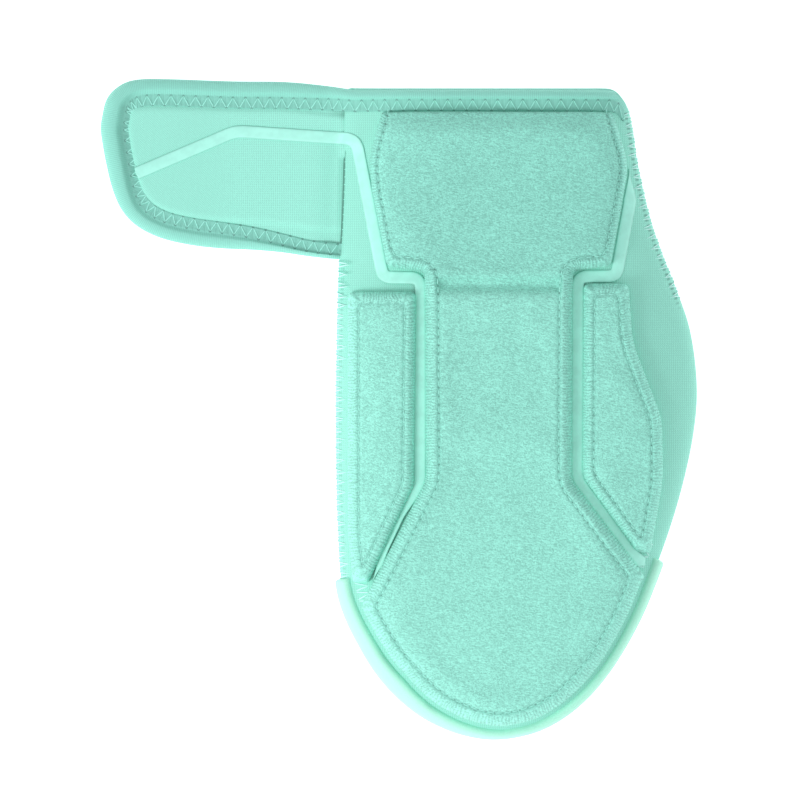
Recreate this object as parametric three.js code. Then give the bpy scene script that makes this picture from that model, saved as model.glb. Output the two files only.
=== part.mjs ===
// A padded sliding mitt for ball sports, lying on its palm side with the wrist strap laid out flat.
// Millimetres, +Z up. The toe points to -Y, the wrist opening to +Y, and the strap to -X.
// The whole mitt is centred on its own box in X and Y, and stands on Z = 0.

import * as THREE from "three";
import { mergeVertices } from "three/addons/utils/BufferGeometryUtils.js";

// Driving sizes of the hand pocket
const SHELL_LENGTH = 273; // wrist edge to toe
const SHELL_WIDTH = 153; // at the thumb bulge
const SEAM_HEIGHT = 13; // the side seam's height over the surface
const BACK_RISE = 20; // the back's crown over the seam, at its highest section
const BACK_WALL = 3;
const PALM_WALL = 4;
const DOME_REACH = 45; // how far in from the seam the back still rises
const TRAY_REACH = 16; // how far in from the seam the palm's edge is rounded
const WRIST_LIFT_REACH = 36; // how far down from the wrist edge the palm is turned up
const GAP = 0.3; // wherever two pieces meet face to face

// Driving sizes of the pads
const PAD_THICKNESS = 7;
const SIDE_PAD_THICKNESS = 5.5;
const PAD_SEAT = 0.7; // between a pad's underside and the back
const ROLL_RADIUS = 2.6; // the rolled border of each pad
const EDGE_SHARE = 0.2; // share of a pad's thickness that stands upright at its very edge
const STITCH_INSET = 4.4; // the sewn groove, in from the pad's edge
const GROOVE_DEPTH = 1.6;
const GROOVE_WIDTH = 1.3;
const CREASE_DEPTH = 3; // the flex crease between the wrist pad and the hand pad
const CREASE_WIDTH = 3;

// Driving sizes of the strap, tape, films, bumper and fastener
const STRAP_LENGTH = 102;
const STRAP_WIDTH = 70;
const STRAP_THICKNESS = 4;
const STRAP_TOUCHDOWN = 0.62; // share of the strap's length where it reaches the surface
const TAPE_WIDTH = 9;
const TAPE_THICKNESS = 1.3;
const TAPE_SLACK = 0.45; // round the panel's edge inside the fold
const FILM_WIDTH = 5.3;
const FILM_THICKNESS = 0.8;
const FILM_SEAT = 0.5;
const CHANNEL_GAP = 0.4; // between a film and the pads beside it
const BUMPER_WALL = 2;
const BUMPER_SEAT = 0.6; // between the bumper and the shell
const BUMPER_CLEARANCE = 3.6; // from the surface to the bumper's lower edge
const BUMPER_LEAN = 5.5; // how far in from the seam its upper edge comes at most
const HOOK_LENGTH = 36;
const HOOK_WIDTH = 32;
const HOOK_THICKNESS = 1;

// The hand pocket's sections from the wrist to the toe. along is a share of SHELL_LENGTH, left and
// right are shares of SHELL_WIDTH from the hand pad's centre line, and rise is a share of BACK_RISE.
const BODY_SECTIONS = [
  { along: 0.0, left: -0.4306, right: 0.3444, rise: 0.84 },
  { along: 0.0528, left: -0.4319, right: 0.3667, rise: 0.85 },
  { along: 0.1134, left: -0.4347, right: 0.3833, rise: 0.86 },
  { along: 0.2005, left: -0.4403, right: 0.4194, rise: 0.88 },
  { along: 0.2549, left: -0.4458, right: 0.4528, rise: 0.91 },
  { along: 0.3061, left: -0.45, right: 0.4889, rise: 0.94 },
  { along: 0.3714, left: -0.4528, right: 0.5278, rise: 0.98 },
  { along: 0.4615, left: -0.4556, right: 0.5472, rise: 1.0 },
  { along: 0.5268, left: -0.4556, right: 0.5389, rise: 1.0 },
  { along: 0.6045, left: -0.4542, right: 0.5111, rise: 0.97 },
  { along: 0.6822, left: -0.45, right: 0.4708, rise: 0.91 },
  { along: 0.7754, left: -0.4375, right: 0.4097, rise: 0.82 },
  { along: 0.8127, left: -0.4181, right: 0.3814, rise: 0.78 },
  { along: 0.8578, left: -0.3792, right: 0.3389, rise: 0.73 },
  { along: 0.8998, left: -0.3333, right: 0.2906, rise: 0.68 },
  { along: 0.9355, left: -0.2778, right: 0.2375, rise: 0.65 },
  { along: 0.9658, left: -0.2103, right: 0.1747, rise: 0.62 },
  { along: 0.9868, left: -0.1347, right: 0.1064, rise: 0.61 },
  { along: 0.997, left: -0.0694, right: 0.0403, rise: 0.6 },
];
const TOE = { along: 1, across: -0.0167 };
const TOE_RADIUS = 0.4 * SHELL_WIDTH;

// The strap's edge, from its root at the wrist edge round the free end to its root at the lower side.
// out is a share of STRAP_LENGTH from the root, down is a share of STRAP_WIDTH from the wrist edge.
const STRAP_EDGE = [
  { out: 0.0, down: 0.0 },
  { out: 0.23, down: -0.036 },
  { out: 0.46, down: -0.042 },
  { out: 0.74, down: -0.056 },
  { out: 0.84, down: -0.056 },
  { out: 0.9, down: -0.042 },
  { out: 0.947, down: -0.002 },
  { out: 0.978, down: 0.052 },
  { out: 0.993, down: 0.14 },
  { out: 1.0, down: 0.218 },
  { out: 0.991, down: 0.31 },
  { out: 0.972, down: 0.44 },
  { out: 0.94, down: 0.6 },
  { out: 0.9, down: 0.715 },
  { out: 0.845, down: 0.795 },
  { out: 0.75, down: 0.865 },
  { out: 0.62, down: 0.91 },
  { out: 0.5, down: 0.93 },
  { out: 0.36, down: 0.94 },
  { out: 0.24, down: 0.955 },
  { out: 0.12, down: 0.98 },
  { out: 0.0, down: 1.0 },
];

// Corners of the pads and films. across and along are shares of the shell's width and length, and
// radius rounds the corner, in shares of ROLL_RADIUS. A row with out and down lies on the strap.
const PAD_START = (TAPE_WIDTH + GAP) / SHELL_LENGTH;
const COVER_LEFT = [
  { across: -0.3306, along: PAD_START, radius: 0 },
  { across: -0.3639, along: 0.108, radius: 11 },
  { across: -0.3556, along: 0.154, radius: 11 },
  { across: -0.3139, along: 0.273, radius: 1.3 },
  { across: -0.2111, along: 0.2805, radius: 1.2 },
  { across: -0.2083, along: 0.32, radius: 11 },
  { across: -0.2056, along: 0.604, radius: 5 },
  { across: -0.3833, along: 0.797, radius: 3 },
];
const COVER_RIGHT = [
  { across: 0.3139, along: PAD_START, radius: 0 },
  { across: 0.3569, along: 0.115, radius: 11 },
  { across: 0.3056, along: 0.273, radius: 1.3 },
  { across: 0.2028, along: 0.279, radius: 1.2 },
  { across: 0.2, along: 0.32, radius: 11 },
  { across: 0.1981, along: 0.604, radius: 3.5 },
  { across: 0.403, along: 0.755, radius: 1.5 },
];
const CREASE_ALONG = 0.3015;
const LITTLE_PAD_LEFT = [
  { across: -0.405, along: 0.3123, radius: 0 },
  { across: -0.4222, along: 0.3123, radius: 1 },
  { across: -0.4222, along: 0.69, radius: 23 },
  { across: -0.4085, along: 0.762, radius: 1 },
  { across: -0.4, along: 0.7637, radius: 0 },
];
const LITTLE_PAD_RIGHT = [
  { across: -0.25, along: 0.3123, radius: 0 },
  { across: -0.2333, along: 0.3123, radius: 1 },
  { across: -0.2392, along: 0.613, radius: 2.6 },
  { across: -0.3656, along: 0.764, radius: 1 },
  { across: -0.382, along: 0.764, radius: 0 },
];
const THUMB_PAD_LEFT = [
  { across: 0.245, along: 0.2995, radius: 0 },
  { across: 0.2306, along: 0.2995, radius: 1 },
  { across: 0.2278, along: 0.6, radius: 3.8 },
  { across: 0.375, along: 0.7135, radius: 1.5 },
  { across: 0.388, along: 0.7167, radius: 0 },
];
const THUMB_PAD_RIGHT = [
  { across: 0.338, along: 0.2995, radius: 0 },
  { across: 0.3556, along: 0.2995, radius: 1.3 },
  { across: 0.3667, along: 0.39, radius: 15 },
  { across: 0.4486, along: 0.51, radius: 11 },
  { across: 0.4514, along: 0.605, radius: 23 },
  { across: 0.417, along: 0.7175, radius: 1.3 },
  { across: 0.404, along: 0.7177, radius: 0 },
];
const STRAP_FILM = [
  { out: 0.855, down: 0.4815, radius: 0 },
  { out: 0.45, down: 0.2394, radius: 6 },
  { across: -0.4, along: 0.0746, radius: 2.3 },
  { across: -0.325, along: 0.2898, radius: 1.5 },
  { across: -0.2236, along: 0.2906, radius: 1.5 },
  { across: -0.2228, along: 0.611, radius: 4.6 },
  { across: -0.2722, along: 0.6589, radius: 8 },
  { across: -0.3178, along: 0.7133, radius: 8 },
  { across: -0.351, along: 0.758, radius: 0 },
];
const THUMB_FILM = [
  { across: 0.3583, along: 0.129, radius: 0 },
  { across: 0.3606, along: 0.171, radius: 8 },
  { across: 0.322, along: 0.288, radius: 1.5 },
  { across: 0.2125, along: 0.2885, radius: 1.5 },
  { across: 0.2117, along: 0.603, radius: 3.5 },
  { across: 0.3917, along: 0.7397, radius: 0 },
];

// The bumper's upper edge from its left end, round the toe, to its right end. inset is a share of
// BUMPER_LEAN, and along in BUMPER_ENDS says where the two ends are, as a share of SHELL_LENGTH.
const BUMPER_ENDS = { left: 0.757, right: 0.728 };
const BUMPER_EDGE = [
  { round: 0.0, inset: 0.72 },
  { round: 0.25, inset: 1.0 },
  { round: 0.5, inset: 0.3 },
  { round: 0.75, inset: 0.3 },
  { round: 1.0, inset: 0.45 },
];

// The fastener's centre under the strap, as shares of the strap's length and width
const HOOK_PLACE = { out: 0.64, down: 0.4 };

// How finely the surfaces are cut into facets
const FACETS = { outline: 150, body: 25, bumper: 38, bumperRound: 5, corner: 4 };
const STRAP_FACETS = { along: 13, across: 7 };
const BODY_CROWN_COLUMNS = 4; // between the last edge columns of both sides
const TOE_CROWDING = 1.25; // how much closer the body's rows lie towards the toe
const EDGE_COLUMNS = [0, 0.02, 0.07, 0.18, 0.36, 0.62]; // shares of DOME_REACH in from the seam
const ROLL_COLUMNS = [0, 0.3, 1, 1.7, 2.4]; // shares of ROLL_RADIUS in from a pad's edge
const PAD_FACET = { along: 13, across: 16 }; // between a pad's borders
const RIBBON_FACET = { film: 9, tape: 14 }; // along a film or a tape, where it runs straight
const RIBBON_TURN = THREE.MathUtils.degToRad(14); // and from one facet to the next where it bends

// The back's edge is an ellipse, and softer where it runs out into the strap
const ELLIPSE_POWER = 0.5;
const SOFT_POWER = 0.8;
const SOFT_START = -0.1; // share of SHELL_WIDTH
const SOFT_BLEND = 26;

const mix = (a, b, t) => a + (b - a) * t;
const clamp = (value, low, high) => Math.min(Math.max(value, low), high);
const smooth = (t) => clamp(t, 0, 1) ** 2 * (3 - 2 * clamp(t, 0, 1));
const evenly = (steps) => Array.from({ length: steps + 1 }, (_, i) => i / steps);
const flat = (x, y) => new THREE.Vector3(x, y, 0);

// The value of one column of a table at a position, with straight lines between its rows.
function column(table, key, name, at) {
  const next = table.findIndex((row) => row[key] > at);
  if (next === 0) return table[0][name];
  if (next < 0) return table[table.length - 1][name];
  const [before, after] = [table[next - 1], table[next]];
  return mix(before[name], after[name], (at - before[key]) / (after[key] - before[key]));
}
const onBody = (name, y) => column(BODY_SECTIONS, "along", name, -y / SHELL_LENGTH);

// Plan position of a row of a table: on the strap, which starts at the side seam, or on the body.
function place(row) {
  if (row.out === undefined) return flat(row.across * SHELL_WIDTH, -row.along * SHELL_LENGTH);
  const y = -row.down * STRAP_WIDTH;
  return flat(seamX(-1, y) - GAP - row.out * STRAP_LENGTH, y);
}

// Points along a line of corners, each rounded by its own radius.
const MOST_CUT = 0.48; // share of a side that one corner's rounding may take
function roundedLine(corners) {
  const at = corners.map(place);
  const points = [at[0]];
  for (let i = 1; i < corners.length - 1; i += 1) {
    const back = at[i - 1].clone().sub(at[i]);
    const ahead = at[i + 1].clone().sub(at[i]);
    const radius = corners[i].radius * ROLL_RADIUS;
    const cut = radius / Math.tan(back.angleTo(ahead) / 2);
    const reach = Math.min(cut, back.length() * MOST_CUT, ahead.length() * MOST_CUT);
    const start = at[i].clone().add(back.setLength(reach));
    const end = at[i].clone().add(ahead.setLength(reach));
    points.push(...new THREE.QuadraticBezierCurve3(start, at[i], end).getPoints(FACETS.corner));
  }
  points.push(at[at.length - 1]);
  return points;
}

// A line of points that gives the point at any share of its length.
function measured(points) {
  const reached = [0];
  for (let i = 1; i < points.length; i += 1) {
    reached.push(reached[i - 1] + points[i].distanceTo(points[i - 1]));
  }
  const length = reached[reached.length - 1];
  const at = (share) => {
    const distance = clamp(share, 0, 1) * length;
    const i = Math.max(reached.findIndex((r) => r >= distance), 1);
    const span = reached[i] - reached[i - 1] || 1;
    return points[i - 1].clone().lerp(points[i], (distance - reached[i - 1]) / span);
  };
  return { length, at, turns: reached.filter((_, i) => turnsAt(points, i)).map((r) => r / length) };
}
const SHARP = THREE.MathUtils.degToRad(6);
const turnsAt = (points, i) =>
  i > 0 &&
  i < points.length - 1 &&
  points[i].clone().sub(points[i - 1]).angleTo(points[i + 1].clone().sub(points[i])) > SHARP;

// Rows for a grid between two lines: at the given insets from the start and the end, wherever a
// line turns, and no further apart than a facet is long.
function rowsAlong(left, right, starts, ends) {
  const fixed = [...starts.map((d) => d / left.length), ...ends.map((d) => 1 - d / left.length)];
  const [from, to] = [fixed[starts.length - 1], fixed[fixed.length - 1]];
  const turns = [...left.turns, ...right.turns].filter((s) => s > from && s < to);
  const rows = [];
  [...fixed, ...turns]
    .sort((a, b) => a - b)
    .forEach((share) => {
      const last = rows[rows.length - 1] ?? share;
      const span = (share - last) * left.length;
      if (turns.includes(share) && span < ROLL_RADIUS) return;
      const steps = Math.max(Math.ceil(span / PAD_FACET.along), 1);
      rows.push(...evenly(steps).slice(1).map((s) => mix(last, share, s)));
    });
  return rows;
}

// The shortest distance in plan from a place to a line of points.
function distanceTo(points, x, y) {
  let least = Infinity;
  for (let i = 1; i < points.length; i += 1) {
    const [a, b] = [points[i - 1], points[i]];
    const [dx, dy] = [b.x - a.x, b.y - a.y];
    const share = clamp(((x - a.x) * dx + (y - a.y) * dy) / (dx * dx + dy * dy || 1), 0, 1);
    least = Math.min(least, Math.hypot(x - a.x - dx * share, y - a.y - dy * share));
  }
  return least;
}

// Outline of the hand pocket: down the left side, round the toe and up the right side.
const outline = new THREE.CatmullRomCurve3([
  ...BODY_SECTIONS.map((s) => place({ across: s.left, along: s.along })),
  place(TOE),
  ...BODY_SECTIONS.toReversed().map((s) => place({ across: s.right, along: s.along })),
]).getSpacedPoints(FACETS.outline);
const inwardAt = outline.map((_, i) => {
  const [a, b] = [outline[Math.max(i - 1, 0)], outline[Math.min(i + 1, outline.length - 1)]];
  return flat(a.y - b.y, b.x - a.x).normalize();
});
const toeIndex = outline.reduce((low, p, i) => (p.y < outline[low].y ? i : low), 0);
const halves = (points) => [points.slice(0, toeIndex + 1), points.slice(toeIndex).toReversed()];

// The seam's place on the left side, -1, or the right side, 1.
function seamX(side, y) {
  const points = halves(outline)[side < 0 ? 0 : 1];
  const next = clamp(points.findIndex((p) => p.y < y), 1, toeIndex);
  const [a, b] = [points[next - 1], points[next]];
  return mix(a.x, b.x, clamp((y - a.y) / (b.y - a.y), 0, 1));
}

// The outline moved in by a distance that may change along it, with its ends on the wrist edge.
function movedIn(distanceAt) {
  const moved = outline.map((p, i) => p.clone().addScaledVector(inwardAt[i], distanceAt(i)));
  moved[0].y = 0;
  moved[moved.length - 1].y = 0;
  return moved;
}

// For heights the sides run straight on past the wrist edge, so that the edge isn't rounded off.
const seam = [
  flat(outline[0].x, DOME_REACH),
  ...outline,
  flat(outline[outline.length - 1].x, DOME_REACH),
];
const RIM = 0.05; // nearer to the seam than this counts as on it
const inwardFromSeam = (x, y, wall) => Math.max(distanceTo(seam, x, y) - wall - RIM, 0);

// The strap leaves the side seam and comes down to the surface in a parabola.
const strapRoot = outline[0].x - GAP;
const strapRest = Math.max(TAPE_THICKNESS, HOOK_THICKNESS) + TAPE_SLACK;
const strapFall = SEAM_HEIGHT - STRAP_THICKNESS / 2 - strapRest;
function strapHeight(x) {
  const out = (strapRoot - x) / STRAP_LENGTH;
  return strapRest + strapFall * clamp(1 - out / STRAP_TOUCHDOWN, 0, 1) ** 2;
}
const strapSlope = (x) => strapHeight(x + GAP) / GAP - strapHeight(x) / GAP;

// Height of the back's outer face, worked out from the distance to the seam.
function backHeight(x, y, wall = 0) {
  const open = 1 - clamp(inwardFromSeam(x, y, wall) / (DOME_REACH - wall), 0, 1);
  const soft =
    smooth((SOFT_START * SHELL_WIDTH - x) / SOFT_BLEND) * smooth((y + STRAP_WIDTH) / SOFT_BLEND + 1);
  const power = mix(ELLIPSE_POWER, SOFT_POWER, soft);
  const rise = BACK_RISE * onBody("rise", y) - wall;
  return SEAM_HEIGHT + GAP / 2 + rise * (1 - open * open) ** power;
}

// Height of the palm's outer face: flat, rounded up to the seam, and turned up for the wrist tape.
const wristLift = TAPE_THICKNESS + TAPE_SLACK + 2 * GAP;
function palmHeight(x, y, wall = 0) {
  const open = 1 - clamp(inwardFromSeam(x, y, wall) / (TRAY_REACH - wall), 0, 1);
  const floor = wristLift * (1 - smooth(-y / WRIST_LIFT_REACH)) + wall;
  return SEAM_HEIGHT - GAP / 2 - (SEAM_HEIGHT - floor) * (1 - open * open) ** ELLIPSE_POWER;
}

// A closed surface of triangles as a geometry whose faces point outwards.
const SAME_POINT = 2e-3;
function closedGeometry(triangles) {
  const position = new Float32Array(triangles.flat().flatMap((p) => [p.x, p.y, p.z]));
  const loose = new THREE.BufferGeometry();
  loose.setAttribute("position", new THREE.BufferAttribute(position, 3));
  const merged = mergeVertices(loose, SAME_POINT);
  const corner = (i) => new THREE.Vector3().fromBufferAttribute(merged.getAttribute("position"), i);
  const faces = [];
  let volume = 0;
  for (let i = 0; i < merged.index.count; i += 3) {
    const [a, b, c] = [0, 1, 2].map((k) => merged.index.getX(i + k));
    if (a === b || b === c || a === c) continue;
    faces.push([a, b, c]);
    volume += corner(a).dot(corner(b).cross(corner(c)));
  }
  merged.setIndex(faces.flatMap(([a, b, c]) => (volume < 0 ? [a, c, b] : [a, b, c])));
  merged.computeVertexNormals();
  return merged;
}

// A solid between two grids of points that have as many rows and columns.
function solidBetween(upper, lower) {
  const [rows, columns] = [upper.length - 1, upper[0].length - 1];
  const triangles = [];
  for (let r = 0; r < rows; r += 1) {
    for (let c = 0; c < columns; c += 1) {
      const corners = (grid) => [grid[r][c], grid[r + 1][c], grid[r + 1][c + 1], grid[r][c + 1]];
      const [a, b, d, e] = corners(upper);
      triangles.push([a, b, d], [a, d, e]);
      const [f, g, h, i] = corners(lower);
      triangles.push([f, h, g], [f, i, h]);
    }
  }
  const loop = [];
  for (let r = 0; r < rows; r += 1) loop.push([r, 0]);
  for (let c = 0; c < columns; c += 1) loop.push([rows, c]);
  for (let r = rows; r > 0; r -= 1) loop.push([r, columns]);
  for (let c = columns; c > 0; c -= 1) loop.push([0, c]);
  loop.forEach(([r, c], i) => {
    const [nextR, nextC] = loop[(i + 1) % loop.length];
    const [a, b] = [upper[r][c], upper[nextR][nextC]];
    const [low, lowNext] = [lower[r][c], lower[nextR][nextC]];
    triangles.push([b, a, low], [b, low, lowNext]);
  });
  return closedGeometry(triangles);
}

// A solid from closed sections of as many points, carried along a line of frames, with flat ends.
function sweptSolid(frames, sectionOf) {
  const rings = frames.map((frame) =>
    sectionOf(frame).map(([a, b]) =>
      frame.at.clone().addScaledVector(frame.inward, a).addScaledVector(frame.up, b),
    ),
  );
  const sides = rings[0].length;
  const triangles = [];
  for (let i = 1; i < rings.length; i += 1) {
    for (let k = 0; k < sides; k += 1) {
      const next = (k + 1) % sides;
      const [a, b, c, d] = [rings[i - 1][k], rings[i - 1][next], rings[i][next], rings[i][k]];
      triangles.push([a, b, c], [a, c, d]);
    }
  }
  const section = sectionOf(frames[0]).map(([a, b]) => new THREE.Vector2(a, b));
  const [first, last] = [rings[0], rings[rings.length - 1]];
  THREE.ShapeUtils.triangulateShape(section, []).forEach(([a, b, c]) => {
    triangles.push([first[a], first[c], first[b]], [last[a], last[b], last[c]]);
  });
  return closedGeometry(triangles);
}

// Shares of a row that lie at given insets from both its ends, and evenly between them.
function rowShares(length, insets, middle) {
  const deepest = insets[insets.length - 1];
  const scale = Math.min(1, (length * MOST_CUT) / deepest) / length;
  const ends = insets.map((inset) => inset * scale);
  const inner = deepest * scale;
  const between = evenly(middle + 1)
    .slice(1, -1)
    .map((s) => mix(inner, 1 - inner, s));
  return [...ends, ...between, ...ends.toReversed().map((s) => 1 - s)];
}

// Shares of a line's length that are no further apart than a facet, and closer where it bends.
function stations(line, longest) {
  const fine = 1 / line.length;
  const heading = (share) => line.at(share + fine).sub(line.at(share - fine));
  const shares = [0];
  for (let share = fine; share < 1 - fine; share += fine) {
    const last = shares[shares.length - 1];
    const bent = heading(share).angleTo(heading(last)) > RIBBON_TURN;
    if (bent || (share - last) * line.length > longest) shares.push(share);
  }
  return [...shares, 1];
}

// A grid of plan points on straight rows from a left to a right line.
function planGrid(left, right, rows, insets, middle) {
  return rows.map((share) => {
    const [a, b] = [left.at(share), right.at(share)];
    return rowShares(Math.max(a.distanceTo(b), GAP), insets, middle).map((s) => a.clone().lerp(b, s));
  });
}
const raised = (grid, height) => grid.map((row) => row.map((p) => p.clone().setZ(height(p.x, p.y))));

// The body's grid of plan points, moved in from the seam by a wall.
function bodyGrid(wall) {
  const [left, right] = halves(movedIn(() => wall)).map(measured);
  const insets = EDGE_COLUMNS.map((share) => share * DOME_REACH);
  const rows = evenly(FACETS.body).map((t) => 1 - (1 - t) ** TOE_CROWDING);
  return planGrid(left, right, rows, insets, BODY_CROWN_COLUMNS);
}

function backPanel() {
  const inner = raised(bodyGrid(BACK_WALL), (x, y) => backHeight(x, y, BACK_WALL));
  return solidBetween(raised(bodyGrid(0), (x, y) => backHeight(x, y)), inner);
}

function palmPanel() {
  const inner = raised(bodyGrid(PALM_WALL), (x, y) => palmHeight(x, y, PALM_WALL));
  return solidBetween(inner, raised(bodyGrid(0), (x, y) => palmHeight(x, y)));
}

// The toe bumper's place: the outline samples that it covers, and how far in its upper edge lies.
const bumperFrom = outline.findIndex((p) => p.y < -BUMPER_ENDS.left * SHELL_LENGTH);
const bumperTo = outline.findLastIndex((p) => p.y < -BUMPER_ENDS.right * SHELL_LENGTH);
const bumperInset = (i) =>
  BUMPER_LEAN * column(BUMPER_EDGE, "round", "inset", (i - bumperFrom) / (bumperTo - bumperFrom));

// The bumper hugs the shell: its section runs on an ellipse from the palm's side over the seam.
function bumper() {
  const layer = (lift) =>
    evenly(FACETS.bumper).map((share) => {
      const i = Math.round(mix(bumperFrom, bumperTo, share));
      const rise = BACK_RISE * onBody("rise", outline[i].y);
      const top = Math.acos(1 - bumperInset(i) / DOME_REACH);
      const foot = -Math.asin(1 - BUMPER_CLEARANCE / SEAM_HEIGHT);
      return evenly(FACETS.bumperRound).map((t) => {
        const turn = mix(foot, top, t);
        const [reach, height] = turn < 0 ? [TRAY_REACH, SEAM_HEIGHT] : [DOME_REACH, rise];
        const normal = new THREE.Vector2(height * Math.cos(turn), reach * Math.sin(turn)).setLength(lift);
        const inward = reach * (1 - Math.cos(turn)) - normal.x;
        return outline[i]
          .clone()
          .addScaledVector(inwardAt[i], inward)
          .setZ(SEAM_HEIGHT + height * Math.sin(turn) + normal.y);
      });
    });
  return solidBetween(layer(BUMPER_SEAT + BUMPER_WALL), layer(BUMPER_SEAT));
}

// Height of a pad over the back at a distance in from its edge: a rolled border, then a sewn groove.
function padProfile(thickness, inward) {
  const roll = Math.sqrt(1 - (1 - clamp(inward / ROLL_RADIUS, 0, 1)) ** 2);
  const groove = Math.exp(-(((inward - STITCH_INSET) / GROOVE_WIDTH) ** 2));
  return thickness * mix(EDGE_SHARE, 1, roll) - GROOVE_DEPTH * groove;
}

// A pad on the back between a left and a right line, with its height over the back given.
function padSolid(left, right, profile, endRadius = 0) {
  const insets = ROLL_COLUMNS.map((share) => share * ROLL_RADIUS);
  const ends = insets.map((inset) => (endRadius ? Math.sqrt(2 * endRadius * inset) : inset));
  const width = Math.max(left.at(0.5).distanceTo(right.at(0.5)), left.at(0.9).distanceTo(right.at(0.9)));
  const middle = Math.ceil(width / PAD_FACET.across);
  const rows = rowsAlong(left, right, insets, ends);
  const grid = planGrid(left, right, rows, insets, middle);
  const seat = (x, y) => backHeight(x, y) + PAD_SEAT;
  return solidBetween(
    raised(grid, (x, y) => seat(x, y) + profile(x, y)),
    raised(grid, seat),
  );
}

// Outline of the wrist pad and the hand pad together. It ends along the bumper's upper edge.
const padToe = movedIn((i) => bumperInset(i) + BUMPER_WALL / 2 + BUMPER_SEAT);
const firstUnder = (corners) => {
  const last = place(corners[corners.length - 1]);
  return (p) => p.y < last.y - ROLL_RADIUS;
};
function coverLine(corners, toe) {
  const along = toe.slice(toe.findIndex(firstUnder(corners)));
  const { x, y } = along[0];
  const meeting = { across: x / SHELL_WIDTH, along: -y / SHELL_LENGTH };
  return [...roundedLine([...corners, meeting]), ...along.slice(1)];
}
const [coverLeft, coverRight] = [COVER_LEFT, COVER_RIGHT].map((corners, i) =>
  coverLine(corners, halves(padToe)[i]),
);
const cover = [...coverLeft, ...coverRight.toReversed(), coverLeft[0]];

// Part of a line of points above or below the crease, cut at the crease with half the gap.
const creaseY = -CREASE_ALONG * SHELL_LENGTH;
function cutAtCrease(points, side) {
  const cut = creaseY + (side * GAP) / 2;
  const next = points.findIndex((p) => p.y < cut);
  const [a, b] = [points[next - 1], points[next]];
  const meeting = a.clone().lerp(b, (cut - a.y) / (b.y - a.y));
  return side > 0 ? [...points.slice(0, next), meeting] : [meeting, ...points.slice(next)];
}

function coverProfile(x, y) {
  const inward = distanceTo(cover, x, y);
  const field = smooth((inward - ROLL_RADIUS) / ROLL_RADIUS);
  const crease = Math.exp(-(((y - creaseY) / CREASE_WIDTH) ** 2));
  return padProfile(PAD_THICKNESS, inward) - CREASE_DEPTH * crease * field;
}

function coverPad(side) {
  const [left, right] = [coverLeft, coverRight].map((line) => measured(cutAtCrease(line, side)));
  return padSolid(left, right, coverProfile, side < 0 ? TOE_RADIUS : 0);
}

// Each side pad's left and right line, and its whole edge.
const [littlePad, thumbPad] = [
  [LITTLE_PAD_LEFT, LITTLE_PAD_RIGHT],
  [THUMB_PAD_LEFT, THUMB_PAD_RIGHT],
].map((sides) => {
  const [left, right] = sides.map(roundedLine);
  return { left, right, edge: [...left, ...right.toReversed(), left[0]] };
});
const padEdges = [cover, littlePad.edge, thumbPad.edge];

function sidePad({ left, right, edge }) {
  const profile = (x, y) => padProfile(SIDE_PAD_THICKNESS, distanceTo(edge, x, y));
  return padSolid(measured(left), measured(right), profile);
}

// A film lies on the strap and the back, and where it runs between pads it fills their channel.
function film(corners) {
  const ground = (x, y) => {
    const strap = strapHeight(x) + STRAP_THICKNESS;
    if (x < outline[0].x) return strap;
    return Math.max(backHeight(x, y), x < outline[0].x + STRAP_THICKNESS ? strap : 0);
  };
  const line = measured(roundedLine(corners));
  const step = RIBBON_FACET.film / 2 / line.length;
  const grid = stations(line, RIBBON_FACET.film).map((share) => {
    const near = [share - step, share, share + step].map((s) => line.at(s));
    const at = near[1];
    const ahead = line.at(share + step / 2).sub(line.at(share - step / 2));
    const side = flat(ahead.y, -ahead.x).normalize();
    const room = Math.min(...near.flatMap((p) => padEdges.map((edge) => distanceTo(edge, p.x, p.y))));
    const half = clamp(room - CHANNEL_GAP, GAP, FILM_WIDTH / 2);
    return [-1, 0, 1].map((s) => at.clone().addScaledVector(side, s * half));
  });
  return solidBetween(
    raised(grid, (x, y) => ground(x, y) + FILM_SEAT + FILM_THICKNESS),
    raised(grid, (x, y) => ground(x, y) + FILM_SEAT),
  );
}

// The strap's edge in shares, as a smooth curve. Its tip is the row that is furthest out.
const strapTip = STRAP_EDGE.reduce((far, row, i) => (row.out > STRAP_EDGE[far].out ? i : far), 0);
const strapCurve = (rows) => new THREE.CatmullRomCurve3(rows.map((r) => flat(r.out, r.down)));

function strap() {
  const inShares = (rows) => measured(strapCurve(rows).getSpacedPoints(FACETS.outline));
  const upper = inShares(STRAP_EDGE.slice(0, strapTip + 1));
  const lower = inShares(STRAP_EDGE.slice(strapTip).toReversed());
  const grid = evenly(STRAP_FACETS.along).map((share) => {
    const [a, b] = [upper.at(share), lower.at(share)];
    return evenly(STRAP_FACETS.across).map((s) => {
      const { x, y } = a.clone().lerp(b, s);
      return place({ out: x, down: y });
    });
  });
  return solidBetween(
    raised(grid, (x) => strapHeight(x) + STRAP_THICKNESS),
    raised(grid, (x) => strapHeight(x)),
  );
}

const TAPE_NOSE = 0.6; // share of the slot's half height where the fold is upright

// Section of the folded tape, open towards the panel. Its slot takes a panel of the frame's wall.
function tapeSection({ wall }) {
  const slot = wall / 2 + TAPE_SLACK;
  const outer = slot + TAPE_THICKNESS;
  const back = -TAPE_SLACK - TAPE_THICKNESS;
  const nose = slot * TAPE_NOSE;
  return [
    [TAPE_WIDTH, outer],
    [0, outer],
    [back, nose],
    [back, -nose],
    [0, -outer],
    [TAPE_WIDTH, -outer],
    [TAPE_WIDTH, -slot],
    [-TAPE_SLACK, -slot],
    [-TAPE_SLACK, slot],
    [TAPE_WIDTH, slot],
  ];
}

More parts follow.
